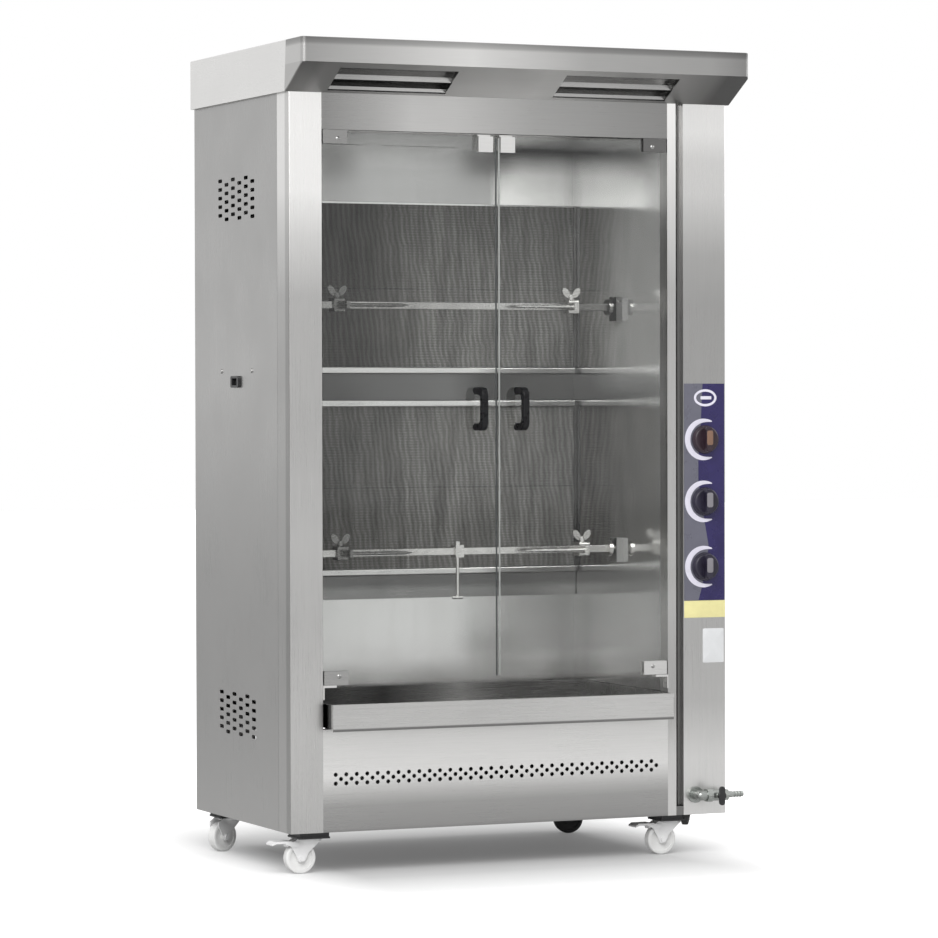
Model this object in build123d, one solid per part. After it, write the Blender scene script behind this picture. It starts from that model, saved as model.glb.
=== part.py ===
from build123d import *
import os
from math import hypot

# Lamb spit roaster: a floor-standing gas cabinet on casters, with two motor-driven spits in front of
# two upright radiant burners, a pair of glass doors, a pull-out drip tray and a control column.
# Millimetres. X runs to the viewer's right, Y to the back, Z up. The origin is on the floor, under
# the middle of the whole object's box.

# Casing
cabinet_width = 1150.0
cabinet_depth = 640.0
cabinet_height = 1740.0
ground_clearance = 100.0
canopy_height = 120.0
canopy_front_overhang = 110.0
canopy_side_overhang = 10.0
canopy_lip_height = 58.0
canopy_seam_setback = 10.0
canopy_corner_radius = 12.0
sheet = 1.5
pan_sheet = 2.0
pan_rim = 20.0
bend_radius = 3.0
seam = 1.0

# Front layout across, from the cabinet's left face
post_width = 83.0
post_depth = 75.0
door_opening_width = 908.0
pillar_width = 23.0
column_gap = 20.0
column_gap_depth = 60.0
jamb_depth = 40.0

# Front layout upwards, from the cabinet's underside
lower_panel_height = 243.0
door_opening_foot = 347.0
door_opening_head = 1654.0

# Chamber and spits, from the cabinet's underside and its front
chamber_foot = 230.0
chamber_front = 25.0
back_wall_depth = 536.0
spit_depth = 273.0
upper_spit_height = 1249.0
lower_spit_height = 646.0

# Burners, from the cabinet's underside
upper_burner_foot = 1084.0
upper_burner_head = 1513.0
lower_burner_foot = 578.0
lower_burner_head = 1019.0
burner_stand_out = 21.0
burner_box_depth = 60.0
rail_height = 18.0
rail_stand_out = 8.0
rail_rounding = 5.0
slim_rail_height = 4.0
tile_columns = 6
tile_thickness = 13.0
tile_setback = 30.0
mesh_thickness = 1.2
guard_height = 58.0
guard_depth = 14.0

# Doors
glass = 6.0
glass_inset = 3.0
glass_edge_gap = 3.0
clamp_length = 62.0
clamp_height = 33.0
clamp_wall = 8.0
clamp_stand_out = 4.0
pivot_inset = 16.0
pivot_radius = 4.0
handle_length = 104.0
handle_stand_off = 50.0
handle_bar = 16.0
handle_width = 17.0
handle_from_middle = 54.0
handle_height = 996.5
catch_size = 38.0

# Spits, forks and spine clamp
spit_side = 18.0
journal_radius = 8.0
collar_radius = 20.0
socket_radius = 15.0
drive_shaft_radius = 10.0
fork_hub_side = 34.0
fork_hub_length = 28.0
prong_length = 140.0
prong_tip = 18.0
prong_radius = 4.0
prong_offset = 42.0
screw_radius = 4.0
fork_places = {"upper": {"left": -343.0, "right": 286.0}, "lower": {"left": -336.0, "right": 314.0}}
spine_clamp_place = -25.0
spine_rod_reach = 118.0

# Drip tray
tray_stand_out = 45.0
tray_height = 56.5
tray_skirt_drop = 6.5
tray_skirt_sheet = 1.2
tray_foot = 246.5
tray_side_gap = 7.0
tray_length = 545.0

# Controls, from the cabinet's underside
knob_radius = 35.0
knob_depth = 14.0
knob_heights = {"drive": 920.0, "upper_burner": 768.0, "lower_burner": 608.0}
fascia_foot = 525.0
fascia_head = 1057.0
stem_radius = 5.0
stem_hole_radius = 6.0

# Gas inlet on the control column and power inlet on the left side
inlet_from_right = 85.0
inlet_height = 49.0
inlet_stand_out = 32.0
nozzle_reach = 30.0
nozzle_radius = 6.5
power_inlet_depth = 350.0
power_inlet_height = 1063.0

# Casters, placed from the cabinet's left face and its front, with each fork's turn in degrees
wheel_radius = 37.5
wheel_width = 24.0
caster_trail = 24.0
kingpin_radius = 6.0
axle_radius = 4.0
top_plate = 80.0
spacer_height = 12.0
pedal_reach = 100.0
braked_casters = {"front_left": (70.0, 60.0, 0.0), "front_right": (1023.0, 60.0, 0.0)}
plain_casters = {"rear_left": (66.0, 583.0, 20.0), "rear_right": (1023.0, 583.0, -14.0)}
casters = braked_casters | plain_casters

# Vents
side_vent_columns = 6
side_vent_rows = 5
side_vent_pitch = (44.0, 21.0)
side_vent_slot = (28.0, 9.0)
side_vent_depth = 348.0
side_vent_heights = (1506.0, 258.0)
front_hole_radius = 5.0
front_hole_pitch = 26.8
front_hole_count = 32
front_hole_height = 125.0
front_hole_row_pitch = 10.5

# Louvres in the canopy's slant: middles from the cabinet's left face, then spans down the slant from
# the lip, and each blade's distance down it and height
louvre_length = 302.0
louvre_places = (246.0, 829.0)
louvre_span = (22.0, 118.0)
louvre_depth = 22.0
louvre_blades = ((73.0, 12.0), (115.0, 8.0))

# Fits
running_play = 0.05
sliding_play = 0.3

# Planes and places worked out from the dimensions above
left = -cabinet_width / 2
right = cabinet_width / 2
front = -(cabinet_depth + canopy_front_overhang) / 2 + canopy_front_overhang
back = front + cabinet_depth
foot = ground_clearance
head = foot + cabinet_height
roof = head + canopy_height
lip_foot = roof - canopy_lip_height
open_left = left + post_width
open_right = open_left + door_opening_width
open_middle = (open_left + open_right) / 2
open_foot = foot + door_opening_foot
open_head = foot + door_opening_head
pillar_right = open_right + pillar_width
column_left = pillar_right + column_gap
column_middle = (column_left + right) / 2
pan_top = foot + pan_sheet
fold_foot = pan_top + pan_rim + pan_sheet
wall_left = open_left - sheet
wall_right = open_right + sheet
wall_foot = foot + chamber_foot
wall_front = front + chamber_front
back_wall = front + back_wall_depth
chamber_roof = open_head - sheet
burner_front = back_wall - burner_stand_out
burner_back = back_wall + burner_box_depth
burner_spans = {
    "upper": (foot + upper_burner_foot, foot + upper_burner_head),
    "lower": (foot + lower_burner_foot, foot + lower_burner_head),
}
spit_y = front + spit_depth
spit_heights = {"upper": foot + upper_spit_height, "lower": foot + lower_spit_height}
glass_front = front + glass_inset
glass_back = glass_front + glass
glass_foot = open_foot + clamp_wall
glass_head = open_head - clamp_wall
pivot_y = glass_front + glass / 2
pivots = {"left": open_left + pivot_inset, "right": open_right - pivot_inset}
catches = {"left": open_middle - 31.0, "right": open_middle + 27.0}
handles = {"left": open_middle - handle_from_middle, "right": open_middle + handle_from_middle}
handle_z = foot + handle_height
handle_bolts = [handle_z - handle_length / 2 + 8, handle_z + handle_length / 2 - 8]
inlet_x = right - inlet_from_right
inlet_z = foot + inlet_height
power_y = front + power_inlet_depth
power_z = foot + power_inlet_height


def block(x0, x1, y0, y1, z0, z1):
    """Box between two opposite corners."""
    middle = Pos((x0 + x1) / 2, (y0 + y1) / 2, (z0 + z1) / 2)
    return middle * Box(abs(x1 - x0), abs(y1 - y0), abs(z1 - z0))


def rod_x(x0, x1, y, z, radius):
    """Cylinder along X."""
    return Pos((x0 + x1) / 2, y, z) * Rot(0, 90, 0) * Cylinder(radius, abs(x1 - x0))


def rod_y(y0, y1, x, z, radius):
    """Cylinder along Y."""
    return Pos(x, (y0 + y1) / 2, z) * Rot(90, 0, 0) * Cylinder(radius, abs(y1 - y0))


def rod_z(z0, z1, x, y, radius):
    """Cylinder along Z."""
    return Pos(x, y, (z0 + z1) / 2) * Cylinder(radius, abs(z1 - z0))


def plate_x(outline, x0, x1):
    """Sketch drawn in Y and Z, made solid between two planes across X."""
    return extrude(Plane.YZ.offset(x0) * outline, x1 - x0)


def plate_y(outline, y0, y1):
    """Sketch drawn in X and Z, made solid between two planes across Y."""
    return extrude(Plane.XZ.offset(-y1) * outline, y1 - y0)


def hexagon_x(x0, x1, y, z, across_flats):
    """Hexagonal bar along X."""
    return plate_x(Pos(y, z) * RegularPolygon(across_flats / 2, 6, major_radius=False), x0, x1)


def pipe(points, radius):
    """Round pipe along straight runs between points, with ball-shaped elbows."""
    whole = None
    for start, end in zip(points, points[1:]):
        step = Vector(*end) - Vector(*start)
        run = extrude(Plane(origin=start, z_dir=step.normalized()) * Circle(radius), step.length)
        whole = run if whole is None else whole + run
    for point in points[1:-1]:
        whole += Pos(*point) * Sphere(radius)
    return whole


def round_corner(piece, x, y, radius=bend_radius):
    """Round the upright edge of a folded sheet that is nearest to (x, y)."""
    uprights = piece.edges().filter_by(Axis.Z)
    return fillet(min(uprights, key=lambda edge: hypot(edge.center().X - x, edge.center().Y - y)), radius)


def save(name, *pieces):
    """Write one sub-part; separate solids share its node."""
    solids = [solid for piece in pieces for solid in piece.solids()]
    shape = solids[0] if len(solids) == 1 else Compound(solids)
    export_step(shape, f"parts/{name}.step")


# Casing


def base_pan():
    """Floor pan with an upturned rim and two stiffening channels."""
    x0, x1 = left + sheet, right - sheet
    y0, y1 = front + sheet, back - sheet
    channel_setback = 180.0
    channel_width = 40.0
    channel_rise = 12.0
    pan = block(x0, x1, y0, y1, foot, pan_top + pan_rim)
    pan -= block(x0 + pan_sheet, x1 - pan_sheet, y0 + pan_sheet, y1 - pan_sheet, pan_top, head)
    for y in (y0 + channel_setback, y1 - channel_setback):
        y_near, y_far = y - channel_width / 2, y + channel_width / 2
        pan += block(x0, x1, y_near, y_far, pan_top, pan_top + channel_rise)
    return pan


def left_corner_post():
    """Folded post: front face, return round the left side, and door jamb."""
    post = block(left, open_left, front, front + sheet, foot, head)
    post += block(left, left + sheet, front, front + post_depth, foot, head)
    post += block(open_left - sheet, open_left, front, front + jamb_depth, fold_foot, head)
    return round_corner(post, left, front)


def right_front_pillar():
    """Narrow pillar whose sheet runs on into the dark channel beside the control column."""
    channel_back = front + column_gap_depth
    pillar = block(open_right, pillar_right, front, front + sheet, foot, head)
    pillar += block(open_right, open_right + sheet, front, front + jamb_depth, fold_foot, head)
    pillar += block(pillar_right - sheet, pillar_right, front, channel_back, fold_foot, head)
    pillar += block(pillar_right - sheet, column_left, channel_back - sheet, channel_back, fold_foot, head)
    return pillar


def side_vent(z_middle):
    """Columns of level slots, every other column half a row lower, cut through the left side."""
    slots = Sketch()
    pitch_y, pitch_z = side_vent_pitch
    for column in range(side_vent_columns):
        y = front + side_vent_depth + (column - (side_vent_columns - 1) / 2) * pitch_y
        stagger = pitch_z / 4 * (1 if column % 2 else -1)
        for row in range(side_vent_rows):
            z = z_middle + (row - (side_vent_rows - 1) / 2) * pitch_z + stagger
            slots += Pos(y, z) * SlotOverall(*side_vent_slot)
    return plate_x(slots, left - 1, left + sheet + 1)


def left_side_panel():
    """Side sheet with two vents, the power inlet's hole and two pan-head screws beside it."""
    fold = 14.0
    y0, y1 = front + post_depth + seam, back - sheet
    panel = block(left, left + sheet, y0, y1, foot, head)
    panel += block(left, left + fold, y0, y0 + sheet, fold_foot, head)
    panel += block(left, left + fold, y1 - sheet, y1, fold_foot, head)
    for height in side_vent_heights:
        panel -= side_vent(foot + height)
    panel -= plate_x(Pos(power_y, power_z) * Rectangle(44.5, 22.5), left - 1, left + sheet + 1)
    for side in (-1, 1):
        panel += rod_x(left - 2.5, left, power_y + side * 102.5, power_z + 26, 5.5)
    return panel


def slot_row(z, pitch, count, length, width):
    """One row of upright slots, drawn across the back."""
    slots = Sketch()
    for column in range(count):
        x = (column - (count - 1) / 2) * pitch
        slots += Pos(x, z) * SlotOverall(length, width, rotation=90)
    return slots


def rear_panel():
    """Back sheet with upper and lower rows of upright air slots."""
    row_inset = 160.0
    slots = slot_row(foot + row_inset, 36, 24, 70, 8) + slot_row(head - row_inset, 36, 24, 70, 8)
    panel = block(left, right, back - sheet, back, foot, head)
    return panel - plate_y(slots, back - sheet - 1, back + 1)


def front_header():
    """Strip over the doors, with a flange that carries the upper door pivots and the chamber roof."""
    header = block(open_left, open_right, front, front + sheet, open_head, head)
    header += block(open_left, open_right, front, front + jamb_depth, open_head, open_head + sheet)
    for x in pivots.values():
        header -= rod_z(open_head - 1, open_head + sheet + 1, x, pivot_y, pivot_radius + 0.1)
    return header


def lower_front_panel():
    """Front sheet under the drip tray, with three staggered rows of round air holes."""
    flange = 30.0
    top = foot + lower_panel_height
    panel = block(open_left, open_right, front, front + sheet, foot, top)
    panel += block(open_left, open_right, front, front + flange, top - sheet, top)
    holes = Sketch()
    for row, shift in ((-1, 0.0), (0, 0.5), (1, 0.0)):
        for column in range(front_hole_count):
            x = open_middle + (column + shift - (front_hole_count - 0.5) / 2) * front_hole_pitch
            z = foot + front_hole_height + row * front_hole_row_pitch
            holes += Pos(x, z) * Circle(front_hole_radius)
    return panel - plate_y(holes, front - 1, front + sheet + 1)


def control_column():
    """Folded cover: front face with the control holes, channel side and whole right side."""
    column = block(column_left, right, front, front + sheet, foot, head)
    column += block(column_left, column_left + sheet, front, front + column_gap_depth, fold_foot, head)
    column += block(right - sheet, right, front, back - sheet, foot, head)
    column = round_corner(column, right, front)
    for height in knob_heights.values():
        column -= rod_y(front - 1, front + sheet + 1, column_middle, foot + height, stem_hole_radius)
    return column - rod_y(front - 1, front + sheet + 1, inlet_x, inlet_z, inlet_neck_radius + 0.3)


def control_fascia():
    """Thin printed plate behind the knobs."""
    plate = block(column_left + 2, right - 3, front - 1, front, foot + fascia_foot, foot + fascia_head)
    for height in knob_heights.values():
        plate -= rod_y(front - 2, front + 1, column_middle, foot + height, stem_hole_radius)
    return plate


# Canopy

# Plane of the slanted underside: its origin is on the lip's lower edge, and it faces down and forwards
slant_length = hypot(canopy_front_overhang, lip_foot - head)
slant = Plane(
    origin=(0, front - canopy_front_overhang, lip_foot),
    x_dir=(1, 0, 0),
    z_dir=(0, head - lip_foot, -canopy_front_overhang),
)


def canopy_block(inset):
    """Whole canopy as one block: level top, upright front lip, slanted underside, drawn in by inset."""
    outline = Polyline(
        (back, head),
        (front, head),
        (front - canopy_front_overhang, lip_foot),
        (front - canopy_front_overhang, roof),
        (back, roof),
        close=True,
    )
    section = make_face(outline)
    if inset:
        section = offset(section, -inset, kind=Kind.INTERSECTION)
    x0 = left - canopy_side_overhang + inset
    whole = plate_x(section, x0, -x0)
    lip_corners = whole.edges().filter_by(Axis.Z).group_by(Axis.Y)[0]
    return fillet(lip_corners, canopy_corner_radius - inset)


def canopy_shell():
    """Hollow canopy with a flue opening below and slots behind."""
    outer = canopy_block(0)
    outer = fillet(outer.edges().group_by(Axis.Z)[-1], bend_radius)
    shell = outer - canopy_block(sheet)
    shell -= block(wall_left + 14, wall_right - 14, front + 115, back - 135, head - 1, head + sheet + 1)
    slots = slot_row((head + roof) / 2, 44, 20, 60, 9)
    return shell - plate_y(slots, back - sheet - 1, back + 1)


def visor_space():
    """Space in front of the canopy's seam, down to the cabinet's front edge."""
    reach = canopy_front_overhang + 10
    outline = Polyline(
        (front, head - 10),
        (front, head),
        (front - canopy_seam_setback, roof),
        (front - canopy_seam_setback, roof + 10),
        (front - reach, roof + 10),
        (front - reach, head - 10),
        close=True,
    )
    return plate_x(make_face(outline), left - 30, right + 30)


def canopy_visor(shell):
    """Front part of the canopy, with two louvre openings in its slant."""
    visor = shell & visor_space()
    span_start, span_end = louvre_span
    for place in louvre_places:
        middle = Pos(left + place, -(span_start + span_end) / 2, 0)
        visor -= slant * middle * Box(louvre_length, span_end - span_start, 10)
    return visor


def canopy_louvres():
    """Two trays behind the slant, each crossed by two blades that stand nearly upright."""
    tray_wall = 2.0
    tray_margin = 3.0
    blade_tilt = -62.0
    span_start, span_end = louvre_span
    length = louvre_length + 2 * tray_margin
    span = span_end - span_start + 2 * tray_margin
    trays = []
    for place in louvre_places:
        tray = Box(length + 2 * tray_wall, span + 2 * tray_wall, louvre_depth)
        tray -= Pos(0, 0, tray_wall) * Box(length, span, louvre_depth)
        tray = Pos(0, -(span_start + span_end) / 2, -louvre_depth / 2 - sheet) * tray
        for blade_foot, blade_height in louvre_blades:
            blade = Pos(0, blade_height / 2, 0) * Box(length + 1, blade_height, 1.2)
            tray += Pos(0, -blade_foot, -sheet - 1) * Rot(blade_tilt, 0, 0) * blade
        trays.append(slant * Pos(left + place, 0, 0) * tray)
    return trays


# Chamber


def chamber_side_walls():
    """Inner side walls; the left one has a hole for each drive socket's shaft."""
    y0, y1 = wall_front, back_wall + sheet
    left_wall = block(wall_left - sheet, wall_left, y0, y1, wall_foot, chamber_roof)
    for z in spit_heights.values():
        left_wall -= rod_x(wall_left - sheet - 1, wall_left + 1, spit_y, z, drive_shaft_radius + 2)
    return left_wall, block(wall_right, wall_right + sheet, y0, y1, wall_foot, chamber_roof)


def chamber_liner():
    """Roof with three flue slots, and the three back panels above, between and below the burners."""
    behind_jambs = front + jamb_depth + seam
    x0, x1 = wall_left - sheet, wall_right + sheet
    roof_sheet = block(x0, x1, behind_jambs, back_wall + sheet, chamber_roof, open_head)
    roof_sheet += block(open_left, open_right, wall_front, behind_jambs, chamber_roof, open_head)
    for shift in (-260, 0, 260):
        roof_sheet -= Pos(open_middle + shift, back_wall - 60, chamber_roof) * Box(200, 18, 10)
    upper_foot, upper_head = burner_spans["upper"]
    lower_foot, lower_head = burner_spans["lower"]
    panels = [roof_sheet]
    for z0, z1 in ((upper_head, chamber_roof), (lower_head, upper_foot), (wall_foot, lower_foot)):
        panels.append(block(wall_left, wall_right, back_wall, back_wall + sheet, z0, z1))
    return panels


def tray_runners():
    """Pair of angle rails on the side walls, under the drip tray."""
    rail_width = 24.0
    rail_drop = 14.0
    top = foot + tray_foot - 0.5
    y0, y1 = front + 45, back_wall - 11
    runners = []
    for wall, inward in ((wall_left, 1), (wall_right, -1)):
        rail = block(wall, wall + inward * rail_width, y0, y1, top - sheet, top)
        rail += block(wall, wall + inward * sheet, y0, y1, top - rail_drop, top)
        runners.append(rail)
    return runners


# Burners and gas line

feed_y = back_wall + 45.0
feed_drop = 20.0
feed_radius = 6.0
manifold_radius = 10.0
manifold_y = front + 78.0
tap_front = front + 8.0
tap_back = front + 54.0
feed_lanes = {"upper": column_middle + 36, "lower": column_middle + 20}
inlet_neck_radius = 11.0


def burner_rail(x0, x1, z0, z1):
    """Rounded rail that stands proud of the screen."""
    rail = block(x0, x1, burner_front - rail_stand_out, burner_front + sheet, z0, z1)
    return fillet(rail.edges().filter_by(Axis.X).group_by(Axis.Y)[0], rail_rounding)


def burner_box(level, head_rail):
    """Burner casing open to the front, with rails that stand out from the back wall."""
    z0, z1 = burner_spans[level]
    z_middle = (z0 + z1) / 2
    x0, x1 = wall_left + seam, wall_right - seam
    rail_back = burner_front + sheet
    stile_width = 8.0
    casing = block(x0, x1, burner_front, burner_back, z0, z1)
    casing -= block(x0 + sheet, x1 - sheet, burner_front - 1, burner_back - sheet, z0 + sheet, z1 - sheet)
    casing += burner_rail(x0, x1, z0, z0 + rail_height)
    casing += block(x0, x1, burner_front, rail_back, z1 - slim_rail_height, z1)
    if head_rail:
        casing += burner_rail(x0, x1, z1 - rail_height, z1)
    for x in (x0, x1 - stile_width):
        casing += block(x, x + stile_width, burner_front, rail_back, z0, z1)
    shelf_front = burner_front + tile_setback - 2
    casing += block(x0, x1, shelf_front, burner_back - sheet, z_middle - sheet, z_middle + sheet)
    return casing - rod_x(x1 - 4, x1 + 1, feed_y, z_middle - feed_drop, feed_radius + 0.2)


def burner_guard():
    """Trough under the lower burner, open at the top."""
    wall = 2.0
    z1 = foot + lower_burner_foot
    z0 = z1 - guard_height
    x0, x1 = wall_left + seam, wall_right - seam
    y0, y1 = back_wall - guard_depth, back_wall
    guard = block(x0, x1, y0, y1, z0, z1)
    return guard - block(x0 + wall, x1 - wall, y0 + wall, y1 - wall, z0 + wall, z1)


def burner_tiles():
    """Ceramic plaques, two rows to each burner."""
    x0, x1 = wall_left + seam + sheet, wall_right - seam - sheet
    pitch = (x1 - x0) / tile_columns
    y0 = burner_front + tile_setback
    tiles = []
    for z0, z1 in burner_spans.values():
        z_middle = (z0 + z1) / 2
        for row_foot, row_head in ((z0 + sheet, z_middle - sheet), (z_middle + sheet, z1 - sheet)):
            for column in range(tile_columns):
                x = x0 + column * pitch
                tiles.append(block(x + 1, x + pitch - 1, y0, y0 + tile_thickness, row_foot, row_head))
    return tiles


def burner_meshes():
    """Wire-cloth screens just behind the burners' front rails."""
    y0 = burner_front + sheet
    x0, x1 = wall_left + seam + 2, wall_right - seam - 2
    return [block(x0, x1, y0, y0 + mesh_thickness, z0 + 2, z1 - 2) for z0, z1 in burner_spans.values()]


def tap(level):
    """Brass gas tap: body, threaded neck through the column's front, and bore for the knob's stem."""
    z = foot + knob_heights[f"{level}_burner"]
    body = block(column_middle - 20, column_middle + 12, tap_front, tap_back, z - 18, z + 18)
    body += rod_y(front + sheet, tap_front, column_middle, z, 9)
    return body - rod_y(front, tap_front + 12, column_middle, z, stem_radius + running_play)


def feed_pipe(level):
    """Pipe from a tap to its burner, ending in a hexagonal injector."""
    z = foot + knob_heights[f"{level}_burner"]
    lane = feed_lanes[level]
    z0, z1 = burner_spans[level]
    end_z = (z0 + z1) / 2 - feed_drop
    y = front + 32
    feed = pipe(
        [(column_middle + 12, y, z), (lane, y, z), (lane, feed_y, z), (lane, feed_y, end_z),
         (wall_right - 6, feed_y, end_z)],
        feed_radius,
    )
    return feed + hexagon_x(wall_right - 18, wall_right - 6, feed_y, end_z, 14)


def gas_manifold():
    """Riser from the inlet with a tee to each tap, the two taps, and their feed pipes."""
    riser_x = column_middle - 4
    top_z = foot + knob_heights["upper_burner"] + 20
    riser = pipe(
        [(inlet_x, front + 30, inlet_z), (inlet_x, manifold_y, inlet_z), (riser_x, manifold_y, inlet_z),
         (riser_x, manifold_y, top_z)],
        manifold_radius,
    )
    for level in burner_spans:
        riser += rod_y(tap_back, manifold_y, riser_x, foot + knob_heights[f"{level}_burner"], 8)
    return [riser] + [tap(level) for level in burner_spans] + [feed_pipe(level) for level in burner_spans]


def drive_switch():
    """Rotary switch for the spit motors, behind the top knob."""
    z = foot + knob_heights["drive"]
    body = block(column_middle - 22, column_middle + 22, tap_front, tap_back - 6, z - 22, z + 22)
    body += rod_y(front + sheet, tap_front, column_middle, z, 9)
    return body - rod_y(front, tap_front + 12, column_middle, z, stem_radius + running_play)


cock_x = inlet_x + 44.0
cock_y = front - inlet_stand_out
cock_boss = 22.0
cock_stem_radius = 4.0


def gas_inlet_valve():
    """Inlet elbow and cock on the column's front, ending in a hose nozzle to the right."""
    valve = rod_y(front, front + 30, inlet_x, inlet_z, inlet_neck_radius)
    valve += rod_y(front - 6, front, inlet_x, inlet_z, 20)
    valve += pipe([(inlet_x, front - 6, inlet_z), (inlet_x, cock_y, inlet_z), (cock_x, cock_y, inlet_z)], 12)
    valve += hexagon_x(inlet_x + 14, inlet_x + 28, cock_y, inlet_z, 30)
    valve += rod_x(inlet_x + 28, cock_x + 18, cock_y, inlet_z, 14)
    valve += hexagon_x(cock_x + 16, cock_x + 28, cock_y, inlet_z, 26)
    valve += rod_x(cock_x + 28, right, cock_y, inlet_z, 8)
    valve += rod_x(right - 1, right + nozzle_reach, cock_y, inlet_z, nozzle_radius)
    valve += rod_y(cock_y - cock_boss, cock_y, cock_x, inlet_z, 8)
    return valve - rod_y(cock_y - cock_boss - 1, cock_y - 6, cock_x, inlet_z, cock_stem_radius + running_play)


def gas_cock_lever():
    """Two-winged lever on the cock's stem; upright is closed."""
    wing_span = 46.0
    wing_width = 15.0
    y = cock_y - cock_boss
    lever = rod_y(y - 3, y + 14, cock_x, inlet_z, cock_stem_radius)
    lever += rod_y(y - 9, y - 1, cock_x, inlet_z, 10)
    wings = Pos(cock_x, inlet_z) * SlotOverall(wing_span, wing_width, rotation=90)
    return lever + plate_y(wings, y - 8, y - 3)


def power_inlet():
    """Appliance inlet in the left side: flange, housing and three flat pins in a recess."""
    place = Pos(power_y, power_z)
    inlet = plate_x(place * RectangleRounded(52, 28, 6), left - 6, left)
    inlet += plate_x(place * Rectangle(44, 22), left - 1, left + 22)
    inlet -= plate_x(place * RectangleRounded(34, 17, 3), left - 7, left + 14)
    for shift, lift in ((-7, -2), (0, 2), (7, -2)):
        inlet += plate_x(Pos(power_y + shift, power_z + lift) * Rectangle(2, 5), left, left + 15)
    return inlet


def spit_gearmotors():
    """Right-angle gearmotor for each spit, hung on the left wall inside the casing."""
    gearbox_depth = 62.0
    motor_radius = 29.0
    motors = []
    for z in spit_heights.values():
        x1 = wall_left - sheet
        x0 = x1 - gearbox_depth
        motor = block(x0, x1, spit_y - 45, spit_y + 45, z - 80, z + 50)
        motor += rod_z(z - 190, z - 80, (x0 + x1) / 2, spit_y, motor_radius)
        motor += rod_z(z - 200, z - 190, (x0 + x1) / 2, spit_y, motor_radius - 9)
        motor -= rod_x(x1 - 42, x1 + 1, spit_y, z, drive_shaft_radius + running_play)
        motors.append(motor)
    return motors


def spit_end_bearings():
    """Open cradles on the right wall, in which the spits' round ends turn."""
    slot = journal_radius + running_play
    cradles = []
    for z in spit_heights.values():
        cradle = block(wall_right - 16, wall_right, spit_y - 20, spit_y + 20, z - 34, z + 26)
        cradle -= rod_x(wall_right - 17, wall_right + 1, spit_y, z, slot)
        cradle -= block(wall_right - 17, wall_right + 1, spit_y - slot, spit_y + slot, z, z + 27)
        cradles.append(cradle)
    return cradles


# Doors


def door_frame_fittings():
    """Fixed pivot bracket below and above each door, and a magnetic catch for each."""
    bracket = 34.0
    bracket_sheet = 3.0
    fittings = []
    for side, inward in (("left", 1), ("right", -1)):
        x = pivots[side]
        wall = open_left if side == "left" else open_right
        y0, y1 = front - 3, front + 19
        lower = block(wall, wall + inward * bracket, y0, y1, open_foot - 6, open_foot - 0.5)
        lower += block(wall, wall + inward * bracket_sheet, y0, y1, open_foot - bracket, open_foot - 0.5)
        lower += rod_z(open_foot - 1, open_foot + clamp_wall - 1, x, pivot_y, pivot_radius)
        upper = block(x - 12, x + 12, front + sheet, front + 22, open_head + sheet, open_head + sheet + 4)
        upper += rod_z(open_head - clamp_wall + 1, open_head + sheet + 1, x, pivot_y, pivot_radius)
        x0, x1 = catches[side] - 17, catches[side] + 17
        magnet = block(x0, x1, glass_back + 2.4, front + 43, chamber_roof - 36, chamber_roof)
        fittings += [lower, upper, magnet]
    return fittings


def door_edges(side):
    """Left and right edges of a door's glass."""
    if side == "left":
        return open_left + glass_edge_gap, open_middle - glass_edge_gap / 2
    return open_middle + glass_edge_gap / 2, open_right - glass_edge_gap


def door_glass(side):
    """Toughened pane with ground edges and two holes for its handle."""
    pane = block(*door_edges(side), glass_front, glass_back, glass_foot, glass_head)
    pane = fillet(pane.edges().filter_by(Axis.Z), 0.8)
    for z in handle_bolts:
        pane -= rod_y(glass_front - 1, glass_back + 1, handles[side], z, 4.2)
    return pane


def door_handle(side):
    """Bow handle moulded in one piece, with its bolts and their caps inside the glass."""
    x = handles[side]
    reach = handle_stand_off + 44
    middle = Pos(glass_front - handle_stand_off + reach / 2, handle_z)
    outer = middle * RectangleRounded(reach, handle_length, 22)
    inner = middle * RectangleRounded(reach - 2 * handle_bar, handle_length - 2 * handle_bar - 4, 14)
    bow = plate_x(outer, x - handle_width / 2, x + handle_width / 2)
    bow -= plate_x(inner, x - handle_width, x + handle_width)
    for group in (0, -1):
        bow = fillet(bow.edges().filter_by(Plane.YZ).group_by(Axis.X)[group], 3.5)
    bow -= block(x - 20, x + 20, glass_front, glass_front + reach, handle_z - 90, handle_z + 90)
    for z in handle_bolts:
        bow += rod_y(glass_front - 4, glass_back + 1, x, z, 4)
        bow += rod_y(glass_back, glass_back + 2.4, x, z, 8)
    return bow


def door_fittings(side):
    """Two corner clamps that turn on the fixed pivots, and the strike plate of the catch."""
    x0, x1 = door_edges(side)
    clamp_x = (x0, x0 + clamp_length) if side == "left" else (x1 - clamp_length, x1)
    y0, y1 = glass_front - clamp_stand_out, glass_back + clamp_stand_out + 1
    groove = block(x0 - 1, x1 + 1, glass_front, glass_back, glass_foot, glass_head)
    lower = block(*clamp_x, y0, y1, open_foot, open_foot + clamp_height)
    upper = block(*clamp_x, y0, y1, open_head - clamp_height, open_head - 0.5)
    hole = pivot_radius + running_play
    lower -= rod_z(open_foot - 1, open_foot + clamp_wall - 0.6, pivots[side], pivot_y, hole)
    upper -= rod_z(open_head - clamp_wall + 0.6, open_head + 1, pivots[side], pivot_y, hole)
    x2, x3 = catches[side] - catch_size / 2, catches[side] + catch_size / 2
    strike = block(x2, x3, glass_front - 3, glass_back + 2, glass_head - catch_size + 2, glass_head + 1.5)
    return lower - groove, upper - groove, strike - groove


# Spits

shoulder = wall_right - 20.0
collar_left = wall_right - 34.0
socket_mouth = wall_left + 24.0
bar_start = wall_left + 10.0


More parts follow.
